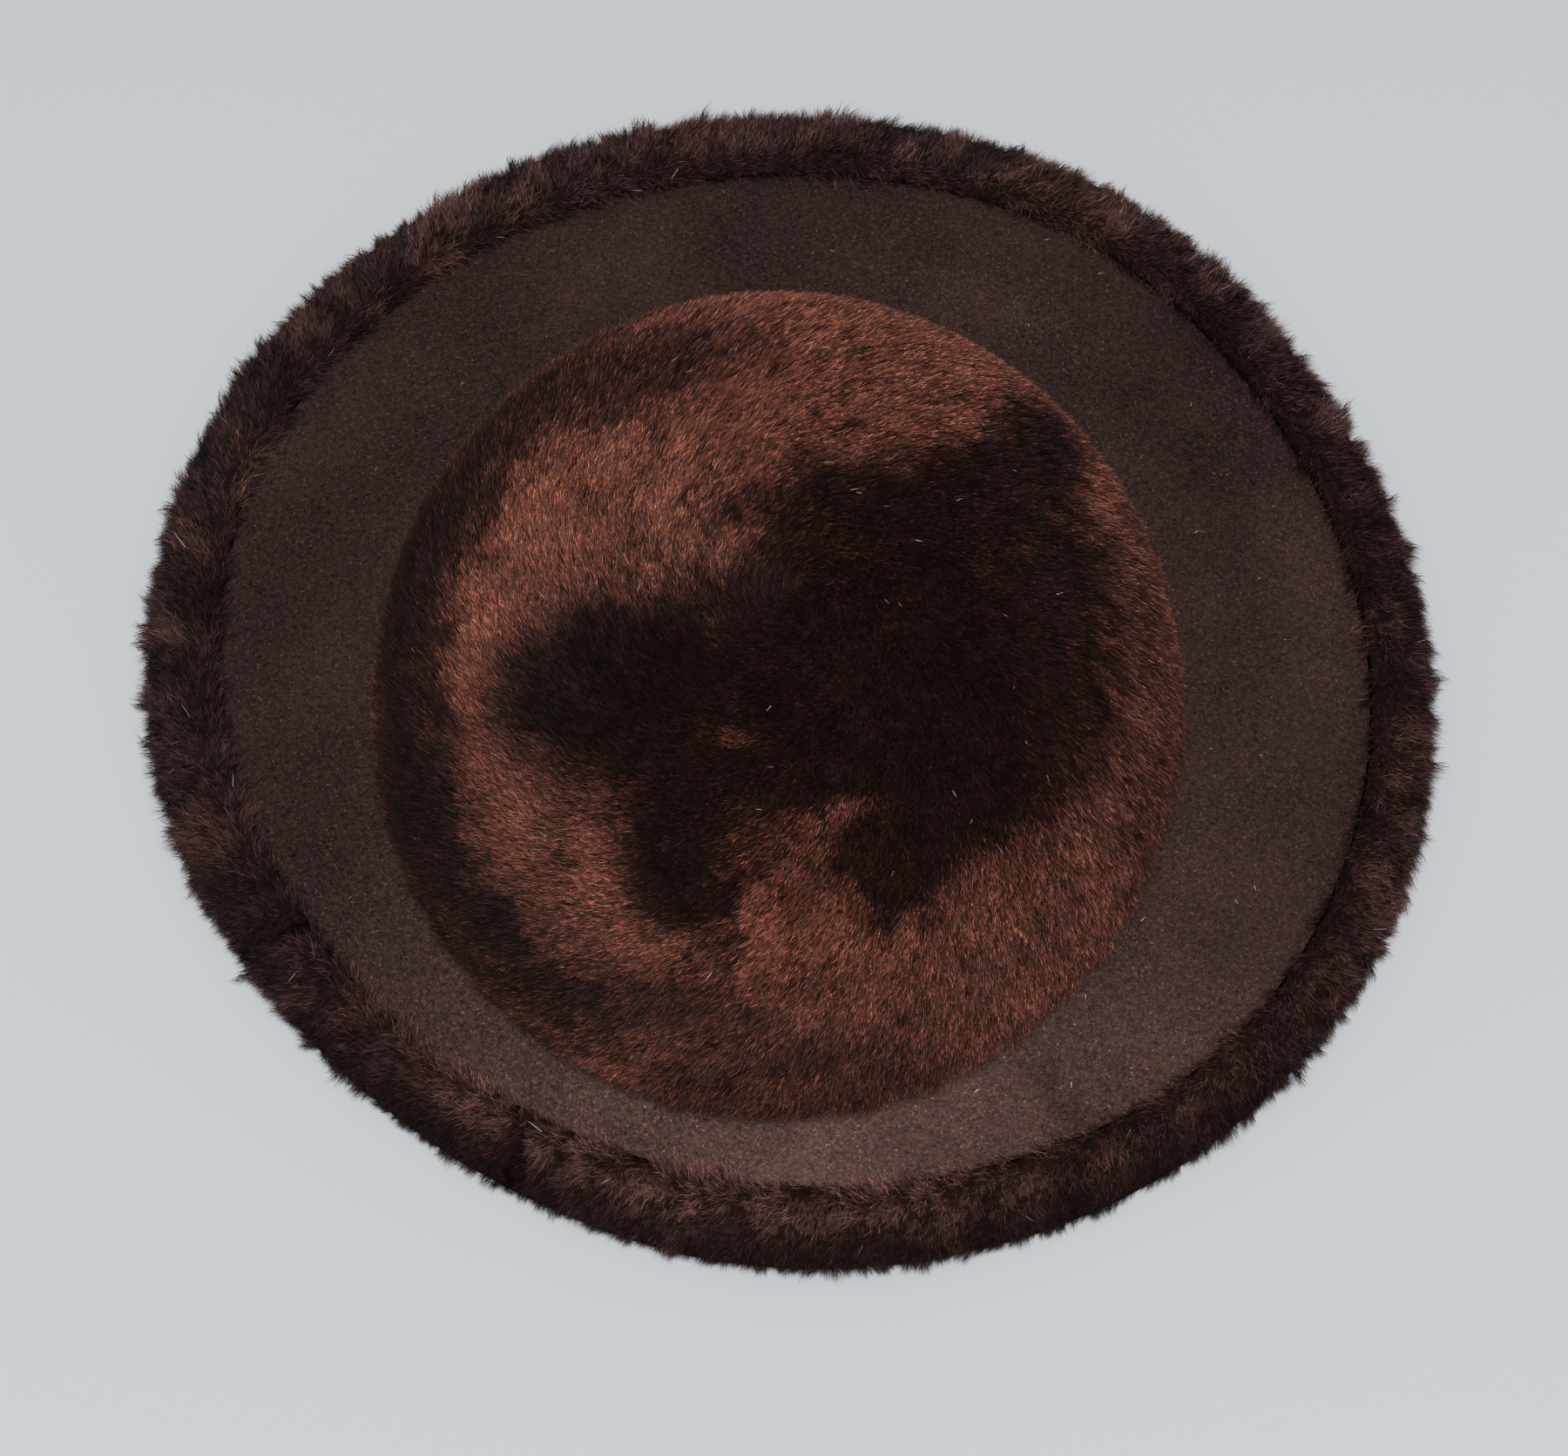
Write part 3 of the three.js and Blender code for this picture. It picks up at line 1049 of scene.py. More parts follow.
@dataclass
class Crown:
    """The domed crown: a thin hollow pelt and the pile that swirls over it. Millimetres and degrees."""

    hair_room: float = 2.1
    skin: float = 2.0
    bulge_height: float = 20.0
    roundness: float = 2.2
    set_back: float = 3.0
    head_half_width: float = 83.0
    head_half_length: float = 98.0
    tuck_share: float = 0.22
    rows: int = 112
    columns: int = 288
    pelt_rows: int = 28
    pelt_columns: int = 144
    lowest_row: float = 0.07
    highest_row: float = 0.999
    quarters: int = 4
    density: float = 0.335
    tip_lead: float = 3.0
    # Painted shade and sheen of the nap: a resting shade, dark patches where the pile also stands up, bright
    # patches of painted sheen, painted bright tufts in the dark patches, and streaks that thin the painted
    # shade.
    resting_shade: float = 0.2
    dark: tuple[Patch, ...] = (
        Patch(45.0, -2.0, 40.0, 44.0, 0.0, 1.0, 0.3),
        Patch(68.0, 46.0, 27.0, 14.0, 80.0, 1.0, 0.45),
        Patch(54.0, 43.0, 26.0, 10.0, 36.0, 1.0, 0.5),
        Patch(35.0, 29.0, 38.0, 13.0, 8.0, 0.97, 0.55),
        Patch(72.0, 5.0, 38.0, 15.0, 90.0, 0.95, 0.5),
        Patch(50.0, -45.0, 32.0, 18.0, 42.0, 1.0, 0.5),
        Patch(24.0, -47.0, 18.0, 14.0, 0.0, 1.0, 0.3),
        Patch(31.0, -66.0, 16.0, 13.0, 70.0, 1.0, 0.4),
        Patch(-40.0, -22.0, 34.0, 19.0, 176.0, 1.0, 0.4),
        Patch(-24.0, -10.0, 38.0, 16.0, 16.0, 0.95, 0.5),
        Patch(-5.0, -25.0, 30.0, 26.0, 0.0, 0.95, 0.3),
        Patch(-10.0, -42.0, 36.0, 15.0, 0.0, 0.95, 0.4),
        Patch(-25.0, -62.0, 24.0, 15.0, 102.0, 1.0, 0.4),
        Patch(2.0, 14.0, 24.0, 12.0, 90.0, 0.7, 0.6),
        Patch(-24.0, 9.0, 24.0, 13.0, 0.0, 0.3, 0.6),
        Patch(4.0, -62.0, 15.0, 17.0, 0.0, 0.3, 0.5),
        Patch(-38.0, 75.0, 35.0, 15.0, 14.0, 0.64, 0.5),
        Patch(-70.0, 62.0, 22.0, 11.0, 45.0, 0.5, 0.6),
        Patch(-62.0, 82.0, 42.0, 8.0, 42.0, 0.6, 0.5),
        Patch(-90.0, 38.0, 26.0, 14.0, 62.0, 0.95, 0.45),
        Patch(-98.0, 2.0, 36.0, 12.0, 92.0, 0.95, 0.5),
        Patch(-95.0, -38.0, 32.0, 12.0, 98.0, 0.95, 0.45),
        Patch(-80.0, -68.0, 26.0, 8.0, 128.0, 0.85, 0.5),
        Patch(-57.0, -90.0, 26.0, 7.0, 148.0, 0.7, 0.6),
        Patch(-28.0, -98.0, 26.0, 5.0, 168.0, 0.5, 0.6),
        Patch(100.0, 0.0, 74.0, 14.0, 90.0, 0.35, 0.5),
        Patch(80.0, -62.0, 40.0, 20.0, 55.0, 0.12, 0.6),
        Patch(14.0, -102.0, 70.0, 15.0, 0.0, 0.14, 0.6),
        Patch(14.0, -115.0, 66.0, 9.0, 0.0, 0.45, 0.5),
    )
    bright: tuple[Patch, ...] = (
        Patch(-61.0, 26.0, 28.0, 17.0, 60.0, 0.6, 0.5),
        Patch(-78.0, -6.0, 30.0, 9.0, 95.0, 0.75, 0.5),
        Patch(0.0, -82.0, 16.0, 8.0, 0.0, 0.9, 0.5),
    )
    ruffles: tuple[Patch, ...] = (
        Patch(50.0, -71.0, 9.0, 3.5, 35.0, 0.7, 0.6),
        Patch(14.0, -57.0, 12.0, 2.5, 15.0, 0.65, 0.6),
        Patch(-12.0, -37.0, 9.0, 2.0, 160.0, 0.5, 0.6),
        Patch(65.0, 20.0, 5.0, 2.5, 0.0, 0.4, 0.6),
    )
    # Patches of painted shade that darken the pile's colour.
    marks: tuple[Patch, ...] = (
        Patch(-47.0, -22.0, 27.0, 23.0, 0.0, -0.55, 0.5),
        Patch(-95.0, -12.0, 80.0, 12.0, 92.0, -0.2, 0.5),
        Patch(-76.0, -68.0, 40.0, 20.0, 130.0, -0.35, 0.6),
        Patch(-61.0, 26.0, 28.0, 20.0, 60.0, -0.12, 0.6),
    )
    patch_fray: tuple[Waver, ...] = (
        Waver(4.0, 15.0, 3.0),
        Waver(3.0, 6.0, 4.0),
        Waver(15.0, 2.4, 5.0, True),
    )
    rest_sway: tuple[Waver, ...] = (Waver(0.14, 12.0, 21.0), Waver(0.34, 2.0, 22.0, True))
    thin_streaks: Waver = Waver(1.0, 3.2, 23.0, True)
    thin_depth: float = 0.45
    thin_bias: float = 0.1
    ruffle_fray: float = 0.2
    mark_fray: Waver = Waver(4.0, 8.0, 35.0)
    # A painted glow along the crown's left outline, and painted light that is paler ahead than behind.
    rim_sway: Waver = Waver(0.05, 9.0, 34.0)
    rim_glow: float = 1.3
    rim_span: tuple[float, float] = (0.9, 1.02)
    rim_left: tuple[float, float] = (0.2, 0.9)
    rim_ahead: tuple[float, float] = (0.1, 0.5)
    slope_light: float = 0.17
    swirl: tuple[float, float] = (5.0, 2.0)
    lean: float = 34.0
    lean_swing: float = 26.0
    lean_azimuth: float = 325.0
    tip_lean: float = 0.55
    tip_reach: tuple[float, float] = (10.0, 60.0)
    lean_sways: tuple[Waver, ...] = (Waver(16.0, 19.0, 1.0), Waver(10.0, 7.0, 2.0))
    foot: tuple[float, float] = (0.2, 0.42)
    lift: float = 2.0
    dark_lift: float = 14.0
    ruffle_lift: tuple[float, float] = (7.0, 26.0)
    ruffle_size: tuple[float, float] = (0.16, 0.45)
    dark_size: float = 0.2
    lift_ruffle: Waver = Waver(1.0, 5.0, 7.0)
    size_ruffle: Waver = Waver(1.0, 5.0, 15.0)
    stray_density: float = 0.0018
    stray_lift: float = 1.4

    def __post_init__(self) -> None:
        """Takes the crown's place and outer size from its CAD node."""
        low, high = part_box("crown")
        self.half_width = (high.x - low.x) / 2.0 / MM
        self.half_length = (high.y - low.y) / 2.0 / MM
        self.height = (high.z - low.z) / MM
        self.middle = (low + high) / 2.0
        self.middle.z = low.z

    def form(self, azimuth: float, share: float, inset: float) -> Vector:
        """A point of the dome.

        Args:
            azimuth: Counter-clockwise from +X, in radians.
            share: 0 at the foot on the felt, 1 at the tip.
            inset: How far inside the CAD's outer form, in millimetres.

        Returns:
            The point, in metres.
        """
        wide, long = self.half_width - inset, self.half_length - inset
        if share < self.tuck_share:
            turn = share / self.tuck_share * math.pi / 2.0
            out = math.sin(turn)
            start = min(inset, self.hair_room + self.skin)
            height = start + (self.bulge_height - start) * (1.0 - math.cos(turn))
            x = (self.head_half_width + (wide - self.head_half_width) * out) * math.cos(azimuth)
            y = (self.head_half_length + (long - self.head_half_length) * out) * math.sin(azimuth)
            y += self.set_back * (1.0 - out)
        else:
            turn = (share - self.tuck_share) / (1.0 - self.tuck_share) * math.pi / 2.0
            out = max(math.cos(turn), 0.0) ** (2.0 / self.roundness)
            climb = self.height - inset - self.bulge_height
            height = self.bulge_height + climb * math.sin(turn) ** (2.0 / self.roundness)
            x = wide * out * math.cos(azimuth)
            y = long * out * math.sin(azimuth)
        return self.middle + Vector((x, y, height)) * MM

    def normal(self, azimuth: float, share: float, inset: float) -> Vector:
        """The unit normal of the dome at a point, with the same arguments as form.

        Args:
            azimuth: Counter-clockwise from +X, in radians.
            share: 0 at the foot on the felt, 1 at the tip.
            inset: How far inside the CAD's outer form, in millimetres.

        Returns:
            The normal, pointing out.
        """
        step, summit = 1.0e-3, 0.9995
        low, high = max(share - step, 0.0), min(share + step, summit)
        round_ = self.form(azimuth + step, high, inset) - self.form(azimuth - step, high, inset)
        climb = self.form(azimuth, high, inset) - self.form(azimuth, low, inset)
        return round_.cross(climb).normalized()

    def pelt(self) -> bpy.types.Mesh:
        """Makes the closed hollow skin under the pile.

        Returns:
            The mesh.
        """
        rows, columns = self.pelt_rows, self.pelt_columns
        turns = [TURN * column / columns for column in range(columns)]
        outer, inner = self.hair_room, self.hair_room + self.skin
        points = []
        for row in range(1, rows + 1):
            points += [self.form(turn, 1.0 - row / rows, outer) for turn in turns]
        for row in range(rows):
            points += [self.form(turn, row / rows, inner) for turn in turns]
        faces = ring_faces(2 * rows, columns, True)
        tip, inside = len(points), len(points) + 1
        points += [self.form(0.0, 1.0, outer), self.form(0.0, 1.0, inner)]
        last = (2 * rows - 1) * columns
        for column in range(columns):
            after = (column + 1) % columns
            faces += [(tip, column, after), (inside, last + after, last + column)]
        return make_mesh("crown_pelt", points, faces)

    def shade(self, place: Vector, way: Vector) -> float:
        """How dark the nap's painted shade and sheen are, and how raised the pile is.

        Args:
            place: A place on the crown.
            way: The lie of the nap there.

        Returns:
            From 0, painted bright and lying, to 1, painted dark and standing.
        """
        x, y = (place.x - self.middle.x) / MM, (place.y - self.middle.y) / MM
        fray = sum(waver.at(place, way) for waver in self.patch_fray)
        clear = patched(1.0, self.dark, x, y, fray, -1.0)
        rest = patched(self.resting_shade, self.bright, x, y, fray, -1.0)
        rest += sum(waver.at(place, way) for waver in self.rest_sway)
        thin = self.thin_depth * max(self.thin_streaks.at(place, way) + self.thin_bias, 0.0)
        shade = (1.0 - clear * (1.0 - min(max(rest, 0.0), 1.0))) * (1.0 - thin)
        return patched(shade, self.ruffles, x, y, fray * self.ruffle_fray, -1.0)

    def light(self, place: Vector) -> float:
        """Painted light on the pile: paler ahead than behind, a painted glow at the left outline, and patches
        of painted shade.

        Args:
            place: A place on the crown.

        Returns:
            A share of the fur's own colour.
        """
        x, y = (place.x - self.middle.x) / MM, (place.y - self.middle.y) / MM
        away = math.hypot(x / self.half_width, y / self.half_length) + self.rim_sway.at(place)
        glow = self.rim_glow * smoothstep(*self.rim_span, away)
        glow *= smoothstep(*self.rim_left, -x / self.half_width)
        glow *= 1.0 - smoothstep(*self.rim_ahead, y / self.half_length)
        level = (1.0 + self.slope_light * y / self.half_length) * (1.0 + glow)
        return patched(level, self.marks, x, y, self.mark_fray.at(place))

    def lie(self, place: Vector, normal: Vector) -> Vector:
        """The way the nap lies: clockwise round the tip, and outwards more on the right than on the left.

        Args:
            place: A place on the crown.
            normal: The skin's normal there.

        Returns:
            The unit direction.
        """
        across, ahead = self.swirl
        out = Vector((place.x - self.middle.x - across * MM, place.y - self.middle.y - ahead * MM, 0.0))
        azimuth = math.atan2(out.y, out.x)
        clockwise = Vector((math.sin(azimuth), -math.cos(azimuth), 0.0))
        down = normal.cross(clockwise)
        swing = self.lean_swing * math.cos(azimuth - math.radians(self.lean_azimuth))
        lean = math.radians(self.lean + swing)
        lean *= self.tip_lean + (1.0 - self.tip_lean) * smoothstep(*self.tip_reach, out.length / MM)
        lean += math.radians(sum(waver.at(place) for waver in self.lean_sways))
        return (clockwise * math.cos(lean) + down * math.sin(lean)).normalized()

    def field(self, start: int, columns: int) -> PileField:
        """Makes a sector of the skin that the pile grows from.

        Args:
            start: The sector's first column, counter-clockwise from +X.
            columns: How many columns wide it is.

        Returns:
            The field.
        """
        points, nap, lift, shade, light, size = [], [], [], [], [], []
        for row in range(self.rows):
            share = self.lowest_row + (self.highest_row - self.lowest_row) * row / (self.rows - 1)
            low = 1.0 - smoothstep(*self.foot, share)
            for column in range(columns + 1):
                azimuth = TURN * (start + column) / self.columns
                place = self.form(azimuth, share, self.hair_room)
                way = self.lie(place, self.normal(azimuth, share, self.hair_room))
                dark = self.shade(place + way * self.tip_lead * MM, way)
                ruffled = (self.ruffle_lift[0] + self.ruffle_lift[1] * low) * self.lift_ruffle.at(place)
                swollen = (self.ruffle_size[0] + self.ruffle_size[1] * low) * self.size_ruffle.at(place)
                points.append(place)
                nap.append(way)
                shade.append(dark)
                light.append(self.light(place))
                lift.append(math.radians(self.lift + ruffled + self.dark_lift * dark))
                size.append(1.0 - self.dark_size * dark + swollen)
        faces = [tuple(reversed(face)) for face in ring_faces(self.rows, columns + 1, False)]
        return PileField(points, faces, nap, lift, shade, light, [1.0] * len(points), size)

    def build(self, kit: Kit) -> None:
        """Makes the crown's pieces.

        Args:
            kit: The shared tree and materials.
        """
        mesh = self.pelt()
        mesh.materials.append(kit.skin)
        show("crown_pelt", mesh, ("crown",))
        columns = self.columns // self.quarters
        for quarter in range(self.quarters):
            pile = Pile(CROWN_TUFT, self.density, spin=10.0, size_spread=0.12, seed=40 + quarter)
            name = f"crown_nap_{quarter + 1}"
            field = self.field(quarter * columns, columns)
            show(name, pile.lay(kit.tree, field, name, kit.nap))
        pile = Pile(STRAY_HAIR, self.stray_density, spin=40.0, size_spread=0.4, seed=53)
        strays = pile.lay(kit.tree, self.field(0, self.columns), "crown_strays", kit.stray)
        for vertex in strays.vertices:
            vertex.co.z += self.stray_lift * MM
        show("crown_strays", strays)


@dataclass
class Brim:
    """The felt brim, smoothed from its CAD node, with the short fibres of its velour.

    Millimetres and degrees, from the middle of the head opening.
    """

    fibre_density: float = 0.105
    stray_density: float = 0.0030
    sag: Waver = Waver(0.35, 32.0, 9.0)
    # Painted light on the velour: paler towards one azimuth, with painted fold highlights and fold shade in
    # patches.
    pale_gain: float = 1.55
    pale_azimuth: float = 272.0
    marks: tuple[Patch, ...] = (
        Patch(75.0, -107.0, 22.0, 4.0, 125.0, -0.30, 0.6),
        Patch(110.0, 88.0, 26.0, 9.0, 130.0, -0.22, 0.6),
        Patch(60.0, 128.0, 34.0, 9.0, 155.0, 0.25, 0.6),
        Patch(146.0, 45.0, 30.0, 9.0, 105.0, 0.2, 0.6),
        Patch(-128.0, 30.0, 50.0, 22.0, 90.0, -0.1, 0.6),
    )
    mark_fray: Waver = Waver(5.0, 16.0, 31.0)
    tone_sways: tuple[Waver, ...] = (Waver(0.12, 24.0, 32.0), Waver(0.10, 8.0, 33.0))
    nap_sway: Waver = Waver(math.pi, 9.0, 4.0)

    def light(self, place: Vector) -> float:
        """Painted light on the velour: palest at the back of the hat, with painted fold highlights and fold
        shade, and a random tone.

        Args:
            place: A place on the felt.

        Returns:
            A share of the felt's own colour.
        """
        x, y = place.x / MM - HEAD_MIDDLE[0], place.y / MM - HEAD_MIDDLE[1]
        facing = max(math.cos(math.atan2(y, x) - math.radians(self.pale_azimuth)), 0.0)
        level = 1.0 + self.pale_gain * facing * facing
        level = patched(level, self.marks, x, y, self.mark_fray.at(place))
        return level * (1.0 + sum(waver.at(place) for waver in self.tone_sways))

    def smooth(self) -> bpy.types.Mesh:
        """Rounds the CAD brim and gives it faint unevenness.

        Returns:
            The felt's mesh, with its painted light attribute.
        """
        copy = merged_copy("brim")
        raw = bpy.data.meshes.new("brim_raw")
        copy.to_mesh(raw)
        copy.free()
        shape = put("brim_raw", raw)
        rounded = shape.modifiers.new("rounded", "SUBSURF")
        rounded.levels = rounded.render_levels = 1
        made = freeze(shape, "brim_felt")
        for vertex in made.vertices:
            vertex.co.z += self.sag.at(vertex.co) * MM
        made.polygons.foreach_set("use_smooth", [True] * len(made.polygons))
        made.materials.clear()
        store(made, "light", [self.light(vertex.co) for vertex in made.vertices])
        return made

    def field(self, felt: bpy.types.Mesh) -> PileField:
        """Takes the felt's upper side as the field for its fibres.

        Args:
            felt: The felt's mesh.

        Returns:
            The field.
        """
        faces = [tuple(polygon.vertices) for polygon in felt.polygons if polygon.normal.z > SIDE_TURN]
        points = [vertex.co.copy() for vertex in felt.vertices]
        turns = [self.nap_sway.at(place) for place in points]
        nap = [Vector((math.cos(turn), math.sin(turn), 0.0)) for turn in turns]
        lights = [self.light(place) for place in points]
        even, none = [1.0] * len(points), [0.0] * len(points)
        return PileField(points, faces, nap, none, none, lights, even, even)

    def build(self, kit: Kit) -> None:
        """Makes the brim's pieces.

        Args:
            kit: The shared tree and materials.
        """
        mesh = self.smooth()
        mesh.materials.append(kit.felt)
        show("brim_felt", mesh, ("brim",))
        field = self.field(mesh)
        pile = Pile(FELT_TUFT, self.fibre_density, spin=180.0, size_spread=0.3, seed=61)
        show("brim_velour", pile.lay(kit.tree, field, "brim_velour", kit.velour))
        pile = Pile(STRAY_HAIR, self.stray_density, spin=180.0, size_spread=0.4, seed=67)
        show("brim_strays", pile.lay(kit.tree, field, "brim_strays", kit.stray))


@dataclass
class EdgeFur:
    """One strip of the fur folded over the brim's edge.

    Millimetres and degrees, from the middle of the head opening. Facing is the side of the hat that faces
    the camera, its back, where the photo shows the strip pressed flatter and brighter inside.
    """

    node: str
    parts: int
    seed: int
    press: float = 0.30
    facing_press: float = 0.35
    inner_trim: float = 2.2
    facing_trim: float = 1.3
    facing_span: tuple[float, float] = (0.1, 0.9)
    press_span: tuple[float, float] = (0.5, 0.9)
    trim_span: tuple[float, float] = (0.0, 0.4)
    over_span: tuple[float, float] = (0.05, 0.5)
    outer_span: tuple[float, float] = (0.3, 0.8)
    fold_span: tuple[float, float] = (0.0, 0.12)
    rim_span: tuple[float, float] = (0.7, 0.9)
    slot_reach: float = 0.9
    sectors: int = 120
    seams: tuple[float, ...] = (203.5, 240.5)
    seam_reach: float = 4.5
    # Patches of painted light and shade round the strip.
    marks: tuple[Patch, ...] = (
        Patch(-165.0, 0.0, 65.0, 35.0, 90.0, -0.25, 0.5),
        Patch(-115.0, -115.0, 60.0, 35.0, 135.0, -0.45, 0.5),
        Patch(105.0, -125.0, 60.0, 35.0, 40.0, -0.3, 0.5),
        Patch(10.0, 165.0, 120.0, 35.0, 0.0, 0.25, 0.5),
    )
    # The strip's painted shade and light.
    resting_shade: float = 0.48
    shade_sway: Waver = Waver(0.6, 10.0, 12.0)
    clumps: Waver = Waver(1.0, 6.0, 10.0)
    tufts: Waver = Waver(1.0, 3.0, 13.0)
    clump_dark: float = 0.35
    tuft_dark: float = 0.25
    fold_dark: float = 0.45
    seam_dark: float = 0.6
    facing_dark: tuple[float, float] = (-0.4, 0.65)
    lean: tuple[float, float] = (-25.0, 85.0)
    lean_sways: tuple[Waver, ...] = (Waver(70.0, 13.0, 6.0), Waver(75.0, 3.6, 8.0))
    seam_pull: float = 1.2
    lift: float = 16.0
    clump_lift: float = 20.0
    seam_lift: float = 8.0
    facing_glow: float = 0.75
    outer_fade: float = 1.5
    clump_light: float = 0.3
    clump_size: float = 0.3
    seam_size: float = 0.25
    facing_size: float = 0.3
    below_cover: float = 0.35
    inner_locks: float = 0.12

    def __post_init__(self) -> None:
        """Finds the felt that the strip is folded over, and the middle of the brim."""
        copy = merged_copy("brim")
        self.felt = BVHTree.FromBMesh(copy)
        copy.free()
        self.middle = Vector(HEAD_MIDDLE) * MM

    def pelt(self) -> tuple[bpy.types.Mesh, list[bool]]:
        """Makes the strip's skin, pressed towards the felt to leave room for the pile.

        Returns:
            The mesh, and for each point whether pile grows there.
        """
        copy = merged_copy(self.node)
        grows = []
        shares = self.across([vertex.co.copy() for vertex in copy.verts])
        for vertex, share in zip(copy.verts, shares):
            nearest, _, _, distance = self.felt.find_nearest(vertex.co)
            grows.append(distance > self.slot_reach * MM)
            facing = self.facing(vertex.co)
            if grows[-1]:
                press = self.press + self.facing_press * facing * smoothstep(*self.press_span, share)
                vertex.co = vertex.co.lerp(nearest, press)
            away = vertex.co - self.middle
            away.z = 0.0
            trim = (self.inner_trim + self.facing_trim * facing) * (1.0 - smoothstep(*self.trim_span, share))
            vertex.co += away.normalized() * trim * MM
        made = bpy.data.meshes.new(self.node + "_pelt")
        copy.to_mesh(made)
        copy.free()
        made.polygons.foreach_set("use_smooth", [True] * len(made.polygons))
        made.materials.clear()
        return made, grows

    def turn(self, place: Vector) -> float:
        """The place's azimuth round the head opening, from 0 to a full turn."""
        return math.atan2(place.y - self.middle.y, place.x - self.middle.x) % TURN

    def facing(self, place: Vector) -> float:
        """How near the place is to the side of the hat that faces the camera, from 0 to 1."""
        return smoothstep(*self.facing_span, -math.sin(self.turn(place)))

    def light(self, place: Vector) -> float:
        """Painted light and shade on the pile, set in patches round the strip."""
        return patched(1.0, self.marks, (place.x - self.middle.x) / MM, (place.y - self.middle.y) / MM, 0.0)

    def across(self, points: list[Vector]) -> list[float]:
        """How far each point of the strip is from its inner to its outer edge, seen from above.

        Args:
            points: The strip's points.

        Returns:
            A share for each, from 0 to 1.
        """
        radii = [math.hypot(place.x - self.middle.x, place.y - self.middle.y) for place in points]
        sectors = [int(self.turn(place) / TURN * self.sectors) % self.sectors for place in points]
        inner, outer = {}, {}
        for radius, sector in zip(radii, sectors):
            inner[sector] = min(radius, inner.get(sector, radius))
            outer[sector] = max(radius, outer.get(sector, radius))
        width = {sector: max(outer[sector] - inner[sector], MM) for sector in inner}
        return [(radius - inner[sector]) / width[sector] for radius, sector in zip(radii, sectors)]

    def seam(self, place: Vector) -> tuple[float, float]:
        """How near a place is to a butt seam.

        Args:
            place: A place on the strip.

        Returns:
            From 0 to 1 at the seam, and on which side of it the place is.
        """
        azimuth, radius = self.turn(place), (place - self.middle).length / MM
        gap = min(((azimuth - math.radians(seam)) * radius for seam in self.seams), key=abs)
        return max(0.0, 1.0 - abs(gap) / self.seam_reach), math.copysign(1.0, gap)

    def lie(self, place: Vector, normal: Vector, share: float) -> Vector:
        """The way the nap lies: in over the felt at the inner edge, else out over the rim, and clockwise.

        Args:
            place: A place on the strip.
            normal: The skin's normal there.
            share: How far across the strip it is.

        Returns:
            The unit direction.
        """
        azimuth = self.turn(place)
        clockwise = Vector((math.sin(azimuth), -math.cos(azimuth), 0.0))
        over = normal.cross(clockwise)
        near, side = self.seam(place)
        lean = self.lean[0] + self.lean[1] * smoothstep(*self.over_span, share)
        for waver in self.lean_sways:
            lean += waver.at(place)
        lean = math.radians(lean)
        way = clockwise * math.cos(lean) + over * math.sin(lean)
        return (way - clockwise * side * near * self.seam_pull).normalized()

    def field(self, skin: bpy.types.Mesh, grows: list[bool], part: int, locks: bool) -> PileField:
        """Takes a length of the strip as a field.

        Args:
            skin: The strip's skin.
            grows: For each point, whether pile grows there.
            part: Which length, from 0.
            locks: True for the pointed locks, which stand mostly at the outer rim, away from the camera.

        Returns:
            The field.
        """
        points = [vertex.co.copy() for vertex in skin.vertices]
        normals = [vertex.normal.copy() for vertex in skin.vertices]
        faces = []
        for polygon in skin.polygons:
            corners = tuple(polygon.vertices)
            length = int(self.turn(points[corners[0]]) / TURN * self.parts)
            if length == part and any(grows[corner] for corner in corners):
                faces.append(corners)
        nap, lift, shade, light, cover, size = [], [], [], [], [], []
        for place, normal, share in zip(points, normals, self.across(points)):
            near, _ = self.seam(place)
            clump, tuft = self.clumps.at(place), self.tufts.at(place)
            facing, outer = self.facing(place), smoothstep(*self.outer_span, share)
            # Painted shade: a painted shadow at the strip's inner fold, painted shade in the seams, and on
            # the facing side a brighter inner band and a darker outer band; clumps and tufts are darker or
            # brighter, partly by their own tone and partly by painted sheen.
            fold = (1.0 - facing) * (1.0 - smoothstep(*self.fold_span, share))
            dark = self.resting_shade - self.shade_sway.at(place)
            dark -= self.clump_dark * clump + self.tuft_dark * tuft
            dark += facing * (self.facing_dark[0] + self.facing_dark[1] * outer) + self.fold_dark * fold
            dark += self.seam_dark * near
            glow = 1.0 + self.facing_glow * facing * facing * (1.0 - self.outer_fade * outer)
            glow *= (1.0 + self.clump_light * clump) * (1.0 - self.seam_dark * near)
            rim = self.inner_locks + (1.0 - self.inner_locks) * smoothstep(*self.rim_span, share)
            full = rim * (1.0 - facing) if locks else 1.0
            swollen = 1.0 + self.clump_size * clump - self.seam_size * near
            nap.append(self.lie(place, normal, share))
            lift.append(math.radians(self.lift + self.clump_lift * clump - self.seam_lift * near))
            shade.append(min(max(dark, 0.0), 1.0))
            light.append(glow * self.light(place))
            cover.append(full * (self.below_cover if normal.z < -SIDE_TURN else 1.0))
            size.append(swollen * (1.0 - self.facing_size * facing * outer))
        return PileField(points, faces, nap, lift, shade, light, cover, size)

    def build(self, kit: Kit) -> None:
        """Makes the strip's pieces.

        Args:
            kit: The shared tree and materials.
        """
        mesh, grows = self.pelt()
        mesh.materials.append(kit.skin)
        show(self.node + "_pelt", mesh, (self.node,))
        layers = (
            ("under", EDGE_UNDER, 0.23, kit.edge),
            ("guard", EDGE_GUARD, 0.05, kit.edge),
            ("stray", EDGE_STRAY, 0.0025, kit.stray),
        )
        for part in range(self.parts):
            for layer, style, density, finish in layers:
                field = self.field(mesh, grows, part, layer == "guard")
                if not field.faces:
                    continue
                pile = Pile(style, density, spin=25.0, size_spread=0.3, seed=self.seed + 10 * part)
                name = f"{self.node}_{layer}_{part + 1}"
                show(name, pile.lay(kit.tree, field, name, finish))


